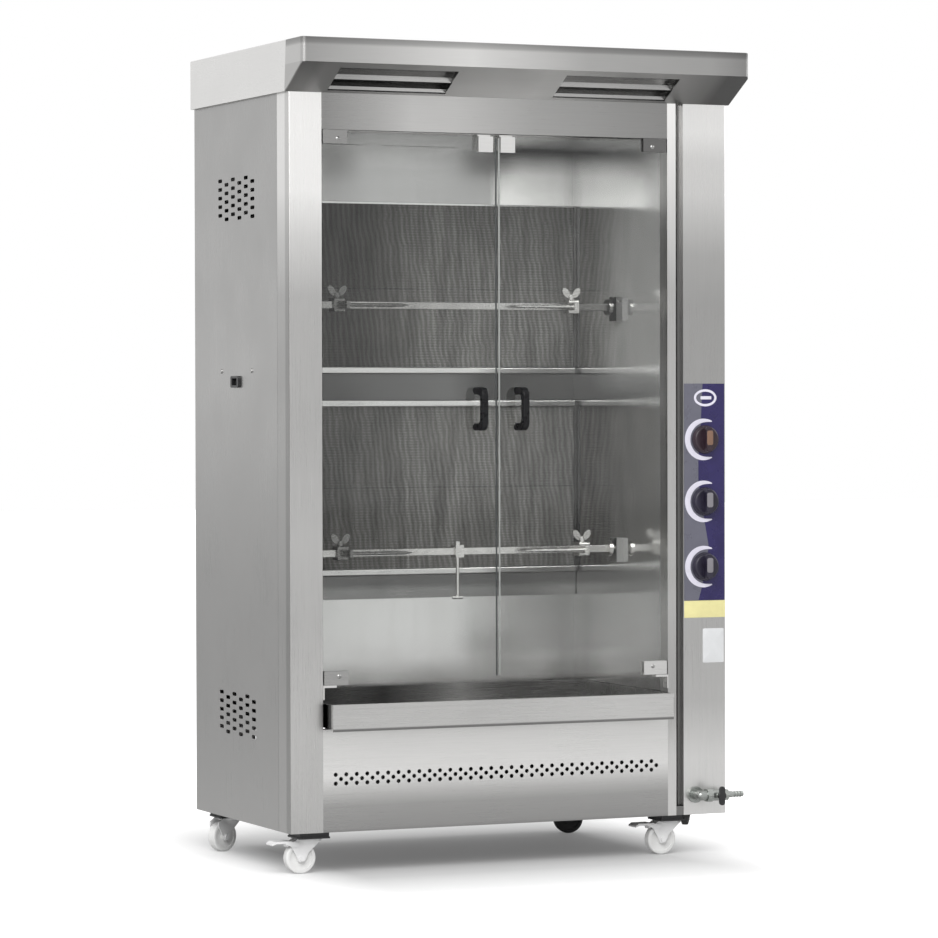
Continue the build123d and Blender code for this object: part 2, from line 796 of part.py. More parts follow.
def spit_bar(z):
    """Square bar with a turned right end and a collar just before it."""
    half = spit_side / 2
    bar = block(bar_start, shoulder, spit_y - half, spit_y + half, z - half, z + half)
    bar = chamfer(bar.edges().filter_by(Axis.X), 1)
    bar += rod_x(collar_left, collar_left + 10, spit_y, z, collar_radius)
    return bar + rod_x(shoulder, wall_right - 2, spit_y, z, journal_radius)


def drive_socket(z):
    """Gearmotor output with a square socket for the spit."""
    half = spit_side / 2 + 0.1
    socket = rod_x(wall_left + 1, socket_mouth, spit_y, z, socket_radius)
    socket += rod_x(wall_left - 41, wall_left + 1, spit_y, z, drive_shaft_radius)
    return socket - block(bar_start, socket_mouth + 1, spit_y - half, spit_y + half, z - half, z + half)


def spit_fork(x, z, inward):
    """Clamp hub that slides on the bar, with two prongs towards the middle of the chamber."""
    half = fork_hub_side / 2
    hole = spit_side / 2 + sliding_play
    face = x + inward * fork_hub_length / 2
    fork = block(x - fork_hub_length / 2, x + fork_hub_length / 2, spit_y - half, spit_y + half,
                 z - half, z + half)
    fork = fillet(fork.edges().filter_by(Axis.X), 4)
    fork += block(face - inward * 8, face, spit_y - 50, spit_y + 50, z - 9, z + 9)
    fork -= block(x - 20, x + 20, spit_y - hole, spit_y + hole, z - hole, z + hole)
    for side in (-1, 1):
        y = spit_y + side * prong_offset
        fork += rod_x(face - inward, face + inward * prong_length, y, z, prong_radius)
        point = Cone(prong_radius, 0.6, prong_tip, align=(Align.CENTER, Align.CENTER, Align.MIN))
        fork += Pos(face + inward * prong_length, y, z) * Rot(0, inward * 90, 0) * point
    return fork - rod_z(z, z + half + 1, x, spit_y, screw_radius + running_play)


def wing_screw(x, z):
    """Screw with two upright wings, bearing on the spit from above."""
    top = z + fork_hub_side / 2
    screw = rod_z(z + spit_side / 2 + sliding_play, top + 14, x, spit_y, screw_radius)
    screw += rod_z(top + 1, top + 12, x, spit_y, 8)
    for side in (-1, 1):
        wing = Pos(x + side * 14, top + 18) * Ellipse(8, 14, rotation=-side * 35)
        screw += plate_y(wing, spit_y - 2, spit_y + 2)
    return screw


def spine_clamp():
    """Sleeve on the lower spit with a long rod below it, which grips the backbone."""
    x = spine_clamp_place
    z = spit_heights["lower"]
    hole = spit_side / 2 + sliding_play
    half = 15.0
    rod_radius = 4.5
    rod_end = z - spine_rod_reach + rod_radius
    clamp = block(x - 11, x + 11, spit_y - half, spit_y + half, z - half, z + half)
    clamp -= block(x - 12, x + 12, spit_y - hole, spit_y + hole, z - hole, z + hole)
    clamp += rod_z(z + half - 1, z + half + 9, x, spit_y, 8)
    clamp += rod_z(rod_end, z - half + 1, x, spit_y, rod_radius)
    return clamp + rod_x(x - 14, x + 14, spit_y, rod_end, rod_radius)


# Drip tray and controls


def drip_tray():
    """Pull-out pan whose hemmed front stands out below the doors."""
    x0, x1 = open_left + tray_side_gap, open_right - tray_side_gap
    y0 = front - tray_stand_out
    y1 = y0 + tray_length
    z0 = foot + tray_foot
    z1 = z0 + tray_height
    hem = 10.0
    tray = block(x0, x1, y0, y1, z0, z1)
    tray -= block(x0 + sheet, x1 - sheet, y0 + sheet, y1 - sheet, z0 + sheet, z1 + 1)
    tray += block(x0, x1, y0 - 3, y0 + hem, z1 - hem, z1)
    return tray + block(x0, x1, y0 - tray_skirt_sheet, y0, z0 - tray_skirt_drop, z0 + 8)


def control_knob(height):
    """Round knob with a raised grip across it, on a stem that runs in its tap or switch."""
    z = foot + height
    x = column_middle
    y = front - 2
    skirt = Cone(knob_radius, knob_radius - 4, knob_depth, align=(Align.CENTER, Align.CENTER, Align.MIN))
    knob = Pos(x, y, z) * Rot(90, 0, 0) * skirt
    knob += plate_y(Pos(x, z) * RectangleRounded(18, 2 * knob_radius - 8, 7), y - 30, y - 10)
    return knob + rod_y(y - 1, tap_front + 10, x, z, stem_radius)


# Casters

crown_top = foot - spacer_height - 4.5
crown_foot = crown_top - 5.5
cheek_gap = wheel_width / 2 + 2.5
cheek_sheet = 3.0
pedal_pivot = (-40.0, 69.0)
pedal_pin_radius = 3.0


def turned(piece, place):
    """Turn a caster piece, modelled about its kingpin, to its heading and set it in place."""
    x, y, heading = place
    return Pos(left + x, front + y, 0) * Rot(0, 0, heading) * piece


def caster_top_plates():
    """Four spacers, each with its bolted plate and kingpin."""
    half = top_plate / 2
    plate_foot = foot - spacer_height - 4
    plates = []
    for x, y, heading in casters.values():
        plate = block(-half, half, -half, half, plate_foot, foot - spacer_height)
        plate = fillet(plate.edges().filter_by(Axis.Z), 6)
        plate += block(3 - half, half - 3, 3 - half, half - 3, foot - spacer_height, foot)
        plate += rod_z(crown_foot - 1, plate_foot, 0, 0, kingpin_radius)
        for bolt_x in (-30, 30):
            for bolt_y in (-30, 30):
                plate -= rod_z(plate_foot - 1, foot + 1, bolt_x, bolt_y, 4.5)
        plates.append(Pos(left + x, front + y, 0) * plate)
    return plates


def caster_fork(braked):
    """Swivel fork: a crown under the plate, two cheeks that rake back, and the axle between them."""
    hub = (-caster_trail, wheel_radius)
    outline = Polyline(
        (29, crown_top),
        (-34, crown_top),
        (-50, 74),
        (-50, 64),
        (hub[0] - 12, hub[1] + 2),
        (hub[0] - 7, hub[1] - 9),
        (hub[0] + 7, hub[1] - 9),
        (hub[0] + 16, hub[1] + 12),
        close=True,
    )
    fork = rod_z(crown_foot, crown_top, 0, 0, 30)
    for side in (-1, 1):
        y0, y1 = sorted((side * cheek_gap, side * (cheek_gap + cheek_sheet)))
        cheek = plate_y(make_face(outline), y0, y1)
        if braked:
            cheek -= rod_y(y0 - 1, y1 + 1, *pedal_pivot, pedal_pin_radius + running_play)
        fork += cheek
        fork += rod_y(side * (cheek_gap + 1), side * (cheek_gap + cheek_sheet + 4), *hub, 7)
    fork += rod_y(-cheek_gap - 1, cheek_gap + 1, *hub, axle_radius)
    return fork - rod_z(crown_foot - 1, crown_top + 1, 0, 0, kingpin_radius + running_play)


def caster_wheel():
    """Nylon wheel with rounded shoulders and sunken cheeks."""
    half = wheel_width / 2
    hub_half = half + 1.5
    wheel = rod_y(-half, half, 0, 0, wheel_radius)
    wheel = fillet(wheel.edges().filter_by(GeomType.CIRCLE), 4)
    for side in (-1, 1):
        y0, y1 = side * (half - 3), side * (half + 1)
        wheel -= rod_y(y0, y1, 0, 0, wheel_radius - 9) - rod_y(y0, y1, 0, 0, 12)
    wheel += rod_y(-hub_half, hub_half, 0, 0, 10)
    wheel -= rod_y(-hub_half - 1, hub_half + 1, 0, 0, axle_radius + running_play)
    return Pos(-caster_trail, 0, wheel_radius) * wheel


def brake_pedal():
    """Tread with a shoe over the wheel and two arms that turn on stub pins in the fork's cheeks."""
    tread_half = 15.0
    arm_inner = cheek_gap + cheek_sheet + 0.5
    arm_outer = arm_inner + 2.5
    arm_start = pedal_pivot[0] + 8
    tread = Polyline(
        (-54, 74),
        (-54, 79),
        (-pedal_reach + 8, 79),
        (-pedal_reach, 74),
        (-pedal_reach, 70),
        (-pedal_reach + 10, 74),
        close=True,
    )
    pedal = plate_y(make_face(tread), -arm_outer, arm_outer)
    pedal += block(-60, -55, -tread_half + 5, tread_half - 5, 65, 75)
    arm = Polyline((arm_start, 65), (arm_start, 75), (-56, 79), (-66, 79), (-66, 72), (-48, 64), close=True)
    for side in (-1, 1):
        y0, y1 = sorted((side * arm_inner, side * arm_outer))
        pedal += plate_y(make_face(arm), y0, y1)
        pedal += rod_y(side * (cheek_gap + 0.4), side * (arm_inner + 1), *pedal_pivot, pedal_pin_radius)
    return pedal


os.makedirs("parts", exist_ok=True)

save("base_pan", base_pan())
save("left_corner_post", left_corner_post())
save("right_front_pillar", right_front_pillar())
save("left_side_panel", left_side_panel())
save("rear_panel", rear_panel())
save("front_header", front_header())
save("lower_front_panel", lower_front_panel())
save("control_column", control_column())
save("control_fascia", control_fascia())
canopy = canopy_shell()
save("canopy", canopy - visor_space())
save("canopy_visor", canopy_visor(canopy))
save("canopy_louvres", *canopy_louvres())
save("chamber_side_walls", *chamber_side_walls())
save("chamber_liner", *chamber_liner())
save("tray_runners", *tray_runners())
burners = [burner_box("upper", head_rail=False), burner_box("lower", head_rail=True)]
save("burner_boxes", *burners, burner_guard())
save("burner_tiles", *burner_tiles())
save("burner_meshes", *burner_meshes())
save("gas_manifold", *gas_manifold())
save("drive_switch", drive_switch())
save("gas_inlet_valve", gas_inlet_valve())
save("gas_cock_lever", gas_cock_lever())
save("power_inlet", power_inlet())
save("spit_gearmotors", *spit_gearmotors())
save("spit_end_bearings", *spit_end_bearings())
save("door_frame_fittings", *door_frame_fittings())
for side in pivots:
    save(f"{side}_door_glass", door_glass(side))
    save(f"{side}_door_handle", door_handle(side))
    save(f"{side}_door_fittings", *door_fittings(side))
for level, z in spit_heights.items():
    save(f"{level}_spit_bar", spit_bar(z))
    save(f"{level}_drive_socket", drive_socket(z))
    for side, x in fork_places[level].items():
        save(f"{level}_{side}_fork", spit_fork(x, z, 1 if side == "left" else -1))
        save(f"{level}_{side}_wing_screw", wing_screw(x, z))
save("spine_clamp", spine_clamp())
save("drip_tray", drip_tray())
for name, height in knob_heights.items():
    save(f"{name}_knob", control_knob(height))
save("caster_top_plates", *caster_top_plates())
for name, place in casters.items():
    save(f"{name}_caster_fork", turned(caster_fork(name in braked_casters), place))
    save(f"{name}_caster_wheel", turned(caster_wheel(), place))
for name, place in braked_casters.items():
    save(f"{name}_brake_pedal", turned(brake_pedal(), place))
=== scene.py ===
import math

import bpy
import numpy as np
from mathutils import Matrix, Vector


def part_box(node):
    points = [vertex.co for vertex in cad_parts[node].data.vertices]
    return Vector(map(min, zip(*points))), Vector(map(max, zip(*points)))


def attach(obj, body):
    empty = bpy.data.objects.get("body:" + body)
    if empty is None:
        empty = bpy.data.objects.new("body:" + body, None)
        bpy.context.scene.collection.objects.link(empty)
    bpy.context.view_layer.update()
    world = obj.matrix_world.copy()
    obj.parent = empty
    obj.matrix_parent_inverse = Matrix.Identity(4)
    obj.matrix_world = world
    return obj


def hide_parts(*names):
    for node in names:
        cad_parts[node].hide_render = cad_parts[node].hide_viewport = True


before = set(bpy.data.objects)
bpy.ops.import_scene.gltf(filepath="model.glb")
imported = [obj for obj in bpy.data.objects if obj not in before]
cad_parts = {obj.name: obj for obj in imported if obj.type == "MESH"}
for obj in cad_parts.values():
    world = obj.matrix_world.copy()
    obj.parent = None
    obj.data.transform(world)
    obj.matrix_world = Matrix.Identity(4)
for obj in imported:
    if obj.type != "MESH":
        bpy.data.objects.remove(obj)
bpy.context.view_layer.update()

bl_info = {
    "name": "Lamb spit roaster",
    "version": (1, 0, 0),
    "blender": (4, 5, 0),
    "location": "3D View > Sidebar > Roaster",
    "description": "Finishes, fine parts and studio of an upright gas spit roaster",
    "category": "Object",
}

ROOT = "casing"
FRONT_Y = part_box("control_column")[0][1]
SCREEN_SPANS = ((0.680, 1.117), (1.186, 1.611))
BURNER_SPLIT = 1.15
KNOB_NODES = ("drive_knob", "upper_burner_knob", "lower_burner_knob")
CASTERS = ("front_left", "front_right", "rear_left", "rear_right")
WHITE = (1, 1, 1, 1)


# Settings


def colour_setting(name, description, default):
    return bpy.props.FloatVectorProperty(
        name=name, description=description, subtype="COLOR", size=3, default=default, min=0, max=1)


def number_setting(name, description, default, least=0, **kind):
    return bpy.props.FloatProperty(name=name, description=description, default=default, min=least, **kind)


def length_setting(name, description, default, least):
    return number_setting(name, description, default, least, subtype="DISTANCE", unit="LENGTH")


def roughness_setting(name, description, default):
    return number_setting(name, description, default, subtype="FACTOR", max=1)


class SteelSettings(bpy.types.PropertyGroup):
    tone: colour_setting("Steel tone", "Colour of the casing's stainless steel", (0.66, 0.655, 0.645))
    roughness: roughness_setting("Brushed roughness", "Middle roughness of the brushed sheets", 0.30)
    liner_roughness: roughness_setting(
        "Liner roughness", "Middle roughness of the polished chamber walls", 0.19)
    edge_radius: length_setting("Edge radius", "Rounding that sheet edges show in the light", 0.0005, 0)


class BurnerSettings(bpy.types.PropertyGroup):
    wire_pitch: length_setting(
        "Wire pitch", "Distance between the upright wires of a screen", 0.0034, 0.002)
    wire_radius: length_setting("Wire radius", "Radius of a screen's wires", 0.00095, 0.0002)
    wire_tone: colour_setting("Wire tone", "Colour of the heat-darkened wires", (0.35, 0.346, 0.335))


class ControlSettings(bpy.types.PropertyGroup):
    print_navy: colour_setting(
        "Navy print", "Colour of the control plate's right side", (0.019, 0.013, 0.088))
    print_grey: colour_setting(
        "Grey print", "Colour of the control plate's left side", (0.13, 0.13, 0.165))
    band_yellow: colour_setting(
        "Yellow band", "Colour of the band below the control plate", (0.80, 0.74, 0.36))
    ring_radius: length_setting("Dial radius", "Outer radius of the white arc round a knob", 0.051, 0.03)
    ring_width: length_setting("Dial width", "Widest part of the white arc", 0.015, 0.002)


class StageSettings(bpy.types.PropertyGroup):
    floor_tone: colour_setting("Floor tone", "Colour of the floor", (0.86, 0.86, 0.86))
    floor_lift: number_setting(
        "Floor lift", "Light that the camera sees the floor add near the object", 0.13)
    world_level: number_setting("Room level", "Light that comes from all round", 0.5)
    key_power: number_setting("Key power", "Power of the large soft lamp", 330, unit="POWER")
    fill_power: number_setting("Fill power", "Power of the soft lamp on the right", 90, unit="POWER")
    lens: number_setting("Lens", "Focal length on a 36 mm wide sensor", 151.6, 20)


# Surfaces


def grid_faces(rows, columns, wrap):
    """Quads between neighbouring points of a grid, joined round its columns when wrap is set."""
    row = np.arange(rows - 1)[:, None]
    column = np.arange(columns if wrap else columns - 1)[None, :]
    after = (column + 1) % columns
    corners = (row * columns + column, row * columns + after,
               (row + 1) * columns + after, (row + 1) * columns + column)
    return np.stack(np.broadcast_arrays(*corners), -1).reshape(-1, 4)


def sheet(points, wrap=False):
    """Open surface through a grid of points (rows, columns, 3)."""
    rows, columns, _ = points.shape
    return points.reshape(-1, 3), grid_faces(rows, columns, wrap), np.zeros((0, 3), int)


def closed_tube(points):
    """Closed surface: rings of points, with a fan of triangles to a pole at each end's middle."""
    rows, columns, _ = points.shape
    count = rows * columns
    poles = np.stack([points[0].mean(0), points[-1].mean(0)])
    vertices = np.vstack([points.reshape(-1, 3), poles])
    ring = np.arange(columns)
    after = (ring + 1) % columns
    last = (rows - 1) * columns
    first_fan = np.stack([np.full(columns, count), after, ring], 1)
    last_fan = np.stack([np.full(columns, count + 1), last + ring, last + after], 1)
    quads, triangles = grid_faces(rows, columns, True), np.vstack([first_fan, last_fan])
    corners = np.vstack([quads[:, [0, 1, 2]], quads[:, [0, 2, 3]], triangles])
    a, b, c = (vertices[corners[:, k]] - poles[0] for k in range(3))
    if np.einsum("ij,ij->i", a, np.cross(b, c)).sum() < 0:
        quads, triangles = quads[:, ::-1], triangles[:, ::-1]
    return vertices, quads, triangles


def axis_frame(axis):
    """Two unit vectors that stand square to an axis and to each other."""
    axis = np.asarray(axis, float)
    axis = axis / np.linalg.norm(axis)
    helper = np.array([0.0, 0.0, 1.0]) if abs(axis[2]) < 0.9 else np.array([1.0, 0.0, 0.0])
    across = np.cross(helper, axis)
    across /= np.linalg.norm(across)
    return axis, across, np.cross(axis, across)


def turned_shape(centre, axis, profile, sides):
    """Profile of (radius, height) pairs turned once about an axis: centre + height along the axis
    + radius times (cos t, sin t) across it."""
    axis, across, up = axis_frame(axis)
    turn = np.linspace(0, 2 * np.pi, sides, endpoint=False)
    radius, height = np.asarray(profile, float).T
    ring = np.cos(turn)[:, None] * across + np.sin(turn)[:, None] * up
    points = (np.asarray(centre) + height[:, None, None] * axis + radius[:, None, None] * ring[None])
    return closed_tube(points)


def swept_round(path, radius, sides=4):
    """Circle of a radius carried along a path: at every point the circle stands square to the path's
    direction there."""
    turn = np.linspace(0, 2 * np.pi, sides, endpoint=False)
    run = np.gradient(path, axis=0)
    run /= np.linalg.norm(run, axis=1, keepdims=True)
    _, across, _ = axis_frame(run[0])
    across = across - (run @ across)[:, None] * run
    across /= np.linalg.norm(across, axis=1, keepdims=True)
    up = np.cross(run, across)
    ring = np.cos(turn)[None, :, None] * across[:, None] + np.sin(turn)[None, :, None] * up[:, None]
    return closed_tube(path[:, None] + radius * ring)


def rounded_outline(half_width, half_height, corner):
    """Points round a rectangle whose corners are quarter circles."""
    corner = min(corner, half_width, half_height)
    turn = np.linspace(0, np.pi / 2, 6)
    parts = []
    for quarter, (sx, sy) in enumerate(((1, 1), (-1, 1), (-1, -1), (1, -1))):
        angle = turn + quarter * np.pi / 2
        parts.append(np.stack([sx * (half_width - corner) + corner * np.cos(angle),
                               sy * (half_height - corner) + corner * np.sin(angle)], 1))
    return np.vstack(parts)


def soft_plate(centre, width, height, thickness, corner, edge):
    """Plate that faces the front, given by the middle of its back face: rounded rectangles, drawn in
    by edge times (1 - cos t) and raised by edge times sin t, so that its rim is a quarter circle."""
    turn = np.linspace(0, np.pi / 2, 4)
    insets = np.append(0, edge * (1 - np.cos(turn)))
    rises = np.append(0, thickness - edge + edge * np.sin(turn))
    rings = []
    for inset, rise in zip(insets, rises):
        outline = rounded_outline(width / 2 - inset, height / 2 - inset, max(corner - inset, 1e-5))
        rings.append(np.insert(outline, 1, -rise, axis=1) + centre)
    return closed_tube(np.array(rings))


def print_patch(left, right, heights, front, thickness):
    """Thin printed film on an upright plate: its left and right edges are given for each height."""
    x = np.stack([left, right, right, left], 1)
    y = np.broadcast_to([front - thickness, front - thickness, front, front], x.shape)
    z = np.broadcast_to(heights[:, None], x.shape)
    return closed_tube(np.stack([x, y, z], -1))


def new_object(name, data):
    """Object with this data, linked into the scene."""
    made = bpy.data.objects.new(name, data)
    bpy.context.scene.collection.objects.link(made)
    return made


def piece(name, shapes, material, body=ROOT, sharp_angle=35, stand_for=()):
    """Mesh object from a list of surfaces, riding on a body of the frame."""
    counts = np.cumsum([0] + [len(s[0]) for s in shapes])
    vertices = np.vstack([s[0] for s in shapes])
    quads = np.vstack([s[1] + c for s, c in zip(shapes, counts)])
    triangles = np.vstack([s[2] + c for s, c in zip(shapes, counts)])
    mesh = bpy.data.meshes.new(name)
    mesh.vertices.add(len(vertices))
    mesh.vertices.foreach_set("co", vertices.ravel().astype(np.float32))
    mesh.loops.add(quads.size + triangles.size)
    corners = np.concatenate([quads.ravel(), triangles.ravel()])
    mesh.loops.foreach_set("vertex_index", corners.astype(np.int32))
    mesh.polygons.add(len(quads) + len(triangles))
    starts = np.concatenate([np.arange(len(quads)) * 4, quads.size + np.arange(len(triangles)) * 3])
    mesh.polygons.foreach_set("loop_start", starts.astype(np.int32))
    mesh.polygons.foreach_set("use_smooth", np.ones(len(starts), bool))
    mesh.update(calc_edges=True)
    if mesh.validate():
        raise RuntimeError(f"{name} has faces that Blender had to mend")
    mesh.set_sharp_from_angle(angle=math.radians(sharp_angle))
    mesh.materials.append(material)
    made = new_object(name, mesh)
    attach(made, body)
    if stand_for:
        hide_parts(*stand_for)


# Finishes


def scaled(colour, share):
    """Colour made darker or lighter, up to full white."""
    return tuple(min(1.0, channel * share) for channel in colour)


class Finish:
    """Material that is built up node by node around one Principled shader."""

    def __init__(self, name, colour, metallic, roughness):
        self.material = bpy.data.materials.new(name)
        self.material.use_nodes = True
        self.tree = self.material.node_tree
        self.tree.nodes.clear()
        self.output = self.node("ShaderNodeOutputMaterial")
        self.shader = self.node("ShaderNodeBsdfPrincipled", {
            "Base Color": (*colour, 1), "Metallic": metallic, "Roughness": roughness})
        self.join(self.shader.outputs[0], self.output.inputs["Surface"])
        self.material.diffuse_color = (*colour, 1)
        self.coordinates = self.node("ShaderNodeTexCoord").outputs["Object"]

    def node(self, kind, values=None, **settings):
        """New node with the values of its sockets and its other settings."""
        made = self.tree.nodes.new(kind)
        for key, value in settings.items():
            setattr(made, key, value)
        for socket, value in (values or {}).items():
            made.inputs[socket].default_value = value
        return made

    def join(self, start, end):
        self.tree.links.new(start, end)

    def combine(self, operation, first, second):
        """Sum, product or other working of two grey sockets."""
        made = self.node("ShaderNodeMath", operation=operation)
        self.join(first, made.inputs[0])
        self.join(second, made.inputs[1])
        return made.outputs[0]

    def pattern(self, kind, values, stretch=(1, 1, 1), lean=0.0, **settings):
        """Pattern in the object's own space, drawn out along the axis with the smallest stretch and
        leaning about Y."""
        mapping = self.node("ShaderNodeMapping", {"Scale": stretch, "Rotation": (0, lean, 0)})
        texture = self.node(kind, values, **settings)
        self.join(self.coordinates, mapping.inputs["Vector"])
        self.join(mapping.outputs[0], texture.inputs["Vector"])
        return texture.outputs["Fac"]

    def noise(self, scale, detail=4.0, roughness=0.55, stretch=(1, 1, 1), lean=0.0):
        values = {"Scale": scale, "Detail": detail, "Roughness": roughness}
        return self.pattern("ShaderNodeTexNoise", values, stretch, lean)

    def ripples(self, period, wander, lean):
        """Upright waves: the sine of the way across, pushed about by noise."""
        values = {"Scale": math.pi / (10 * period), "Distortion": wander, "Detail": 2, "Detail Scale": 0.7}
        return self.pattern("ShaderNodeTexWave", values, lean=lean, bands_direction="X")

    def remap(self, value, low, high, source=(0.3, 0.7)):
        """Value carried in a straight line from the source's two ends to low and high, and held there."""
        mapped = self.node("ShaderNodeMapRange", {
            "From Min": source[0], "From Max": source[1], "To Min": low, "To Max": high})
        self.join(value, mapped.inputs["Value"])
        return mapped.outputs["Result"]

    def place(self, axis):
        """Distance along an axis of the object's space, or along a direction given as a vector."""
        if isinstance(axis, str):
            parts = self.node("ShaderNodeSeparateXYZ")
            self.join(self.coordinates, parts.inputs[0])
            return parts.outputs[axis]
        dot = self.node("ShaderNodeVectorMath", {1: axis}, operation="DOT_PRODUCT")
        self.join(self.coordinates, dot.inputs[0])
        return dot.outputs["Value"]

    def along(self, axis, stops):
        """Grey levels along one axis of the object's space: stops are (place in metres, level)."""
        low, high = stops[0][0], stops[-1][0]
        share = self.remap(self.place(axis), 0, 1, (low, high))
        ramp = self.node("ShaderNodeValToRGB")
        while len(ramp.color_ramp.elements) < len(stops):
            ramp.color_ramp.elements.new(0.5)
        for element, (place, level) in zip(ramp.color_ramp.elements, stops):
            element.position = (place - low) / (high - low)
            element.color = (level, level, level, 1)
        self.join(share, ramp.inputs["Fac"])
        return ramp.outputs["Color"]

    def toned(self, colour, ramps):
        """Colour times the grey levels of each (axis, stops). A longer entry (axis, place, softness,
        below, above) holds two lists of ramps, one for each side of a place on the axis."""
        for axis, *rest in ramps:
            if len(rest) == 1:
                colour = self.blend("MULTIPLY", 1.0, colour, self.along(axis, rest[0]))
            else:
                place, softness, below, above = rest
                side = self.remap(self.place(axis), 0, 1, (place - softness, place + softness))
                colour = self.blend("MIX", side, self.toned(colour, below), self.toned(colour, above))
        return colour

    def blend(self, kind, factor, first, second):
        """Mix of two colours; a socket is joined and a plain colour is set."""
        mix = self.node("ShaderNodeMix", data_type="RGBA", blend_type=kind)
        for value, slot in ((factor, mix.inputs[0]), (first, mix.inputs[6]), (second, mix.inputs[7])):
            if isinstance(value, bpy.types.NodeSocket):
                self.join(value, slot)
            else:
                slot.default_value = value if slot == mix.inputs[0] else (*value, 1)
        return mix.outputs[2]

    def mottle(self, pattern, low, high):
        """Colour that goes from low to high as the pattern does."""
        return self.blend("MIX", self.remap(pattern, 0, 1), low, high)

    def colour(self, socket):
        self.join(socket, self.shader.inputs["Base Color"])

    def roughness(self, socket):
        self.join(socket, self.shader.inputs["Roughness"])

    def relief(self, height, distance, strength, edge=0.0):
        """Bump from a height, over edges that are rounded off by a bevel of this radius."""
        bump = self.node("ShaderNodeBump", {"Distance": distance, "Strength": strength})
        self.join(height, bump.inputs["Height"])
        if edge:
            bevel = self.node("ShaderNodeBevel", {"Radius": edge}, samples=4)
            self.join(bevel.outputs[0], bump.inputs["Normal"])
        self.join(bump.outputs[0], self.shader.inputs["Normal"])


GRAIN = {"X": (0.6, 60, 60), "Y": (60, 0.6, 60), "Z": (60, 60, 0.6)}


def brushed_steel(name, grain, tone, ramps=(), roughness=None):
    """Stainless sheet: fine brushing drawn out along one axis, soft handling marks, and painted light and
    shade as slow changes of tone along axes."""
    settings = bpy.context.scene.roaster_steel
    middle = settings.roughness if roughness is None else roughness
    spread = 0.045
    base = scaled(settings.tone, tone)
    finish = Finish(name, base, 1.0, middle)
    lines = finish.noise(14, 5, 0.7, GRAIN[grain])
    marks = finish.noise(5.5, 3, 0.5)
    colour = finish.mottle(lines, scaled(base, 1 - spread), scaled(base, 1 + spread))
    finish.colour(finish.toned(colour, ramps))
    finish.roughness(finish.combine("ADD", finish.remap(lines, middle - 0.06, middle + 0.07),
                                    finish.remap(marks, -0.03, 0.05)))
    finish.relief(lines, 0.00006, 0.5, settings.edge_radius)
    return finish.material


def polished_liner(name, ramps):
    """Bright inner sheet with slow upright bands, grease haze and a little heat tint."""
    settings = bpy.context.scene.roaster_steel
    middle = settings.liner_roughness
    tone = 0.98
    finish = Finish(name, (tone, tone, tone), 1.0, middle)
    haze = finish.noise(4, 3, 0.5)
    bands = finish.noise(9, 3, 0.5, (1.6, 1.6, 0.2))
    colour = finish.mottle(bands, (tone * 0.94, tone * 0.935, tone * 0.92),
                           (tone, tone * 0.995, tone * 0.985))
    finish.colour(finish.toned(colour, ramps))
    finish.roughness(finish.remap(haze, middle * 0.85, middle * 1.2))
    finish.relief(bands, 0.00005, 0.02, settings.edge_radius)
    return finish.material


def polished_wall(name):
    """Side wall of the chamber: mirror-bright at the back, hazed by grease towards the doors."""
    low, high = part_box("chamber_side_walls")
    front, depth = low[1], high[1] - low[1]
    tone = (0.97, 0.965, 0.955)
    finish = Finish(name, tone, 1.0, 0.06)
    lines = finish.noise(14, 5, 0.7, GRAIN["Z"])
    colour = finish.mottle(lines, scaled(tone, 0.97), tone)

    def inward(*stops):
        """Ramp from the doors, at share 0, to the back of the chamber, at share 1."""
        return (("Y", tuple((front + depth * share, level) for share, level in stops)),)

    # Painted shade in the colour: the wall below 0.65 m darker towards the doors, and above it darker below
    # about 1.2 m.
    low_shade = inward((0, 0.45), (0.4, 0.60), (0.8, 0.80))
    middle = (("Z", ((1.1, 0.74), (1.2, 1.0))),)
    finish.colour(finish.toned(colour, (("Z", 0.65, 0.02, low_shade, middle),)))
    clean = inward((0, 0.92), (0.4, 0.94), (0.8, 1.0))
    hazed = inward((0, 0.77), (0.47, 0.75), (0.65, 0.87), (0.82, 0.98), (1, 1.0))
    share = finish.toned((1, 1, 1), (("Z", BURNER_SPLIT, 0.03, clean, hazed),))
    finish.join(share, finish.shader.inputs["Metallic"])
    finish.roughness(finish.remap(finish.place("Y"), 0.16, 0.05, (front, front + depth * 0.8)))
    finish.relief(lines, 0.00003, 0.3)
    return finish.material


def painted(name, colour, roughness=0.45, wear=0.06):
    """Sprayed coat with a slight orange-peel skin and rubbed places."""
    finish = Finish(name, colour, 0.0, roughness)
    skin = finish.noise(420, 2, 0.5)
    rubbed = finish.noise(24, 5, 0.65)
    finish.colour(finish.mottle(rubbed, scaled(colour, 1 - wear), scaled(colour, 1 + wear)))
    finish.roughness(finish.remap(rubbed, roughness - 0.08, roughness + 0.08))
    finish.relief(skin, 0.00005, 0.35, 0.0006)
    return finish.material


def moulded_black(name, colour=(0.012, 0.012, 0.013), roughness=0.36, shine=0.5):
    """Black moulded plastic with a fine grain and dull, handled patches."""
    finish = Finish(name, colour, 0.0, roughness)
    finish.shader.inputs["Specular IOR Level"].default_value = shine
    grain = finish.noise(900, 2, 0.5)
    dull = finish.noise(38, 4, 0.6)
    finish.colour(finish.mottle(dull, scaled(colour, 0.8), tuple(c * 1.5 + 0.003 for c in colour)))
    finish.roughness(finish.remap(dull, roughness - 0.08, roughness + 0.12))
    finish.relief(grain, 0.00006, 0.4, 0.0005)
    return finish.material


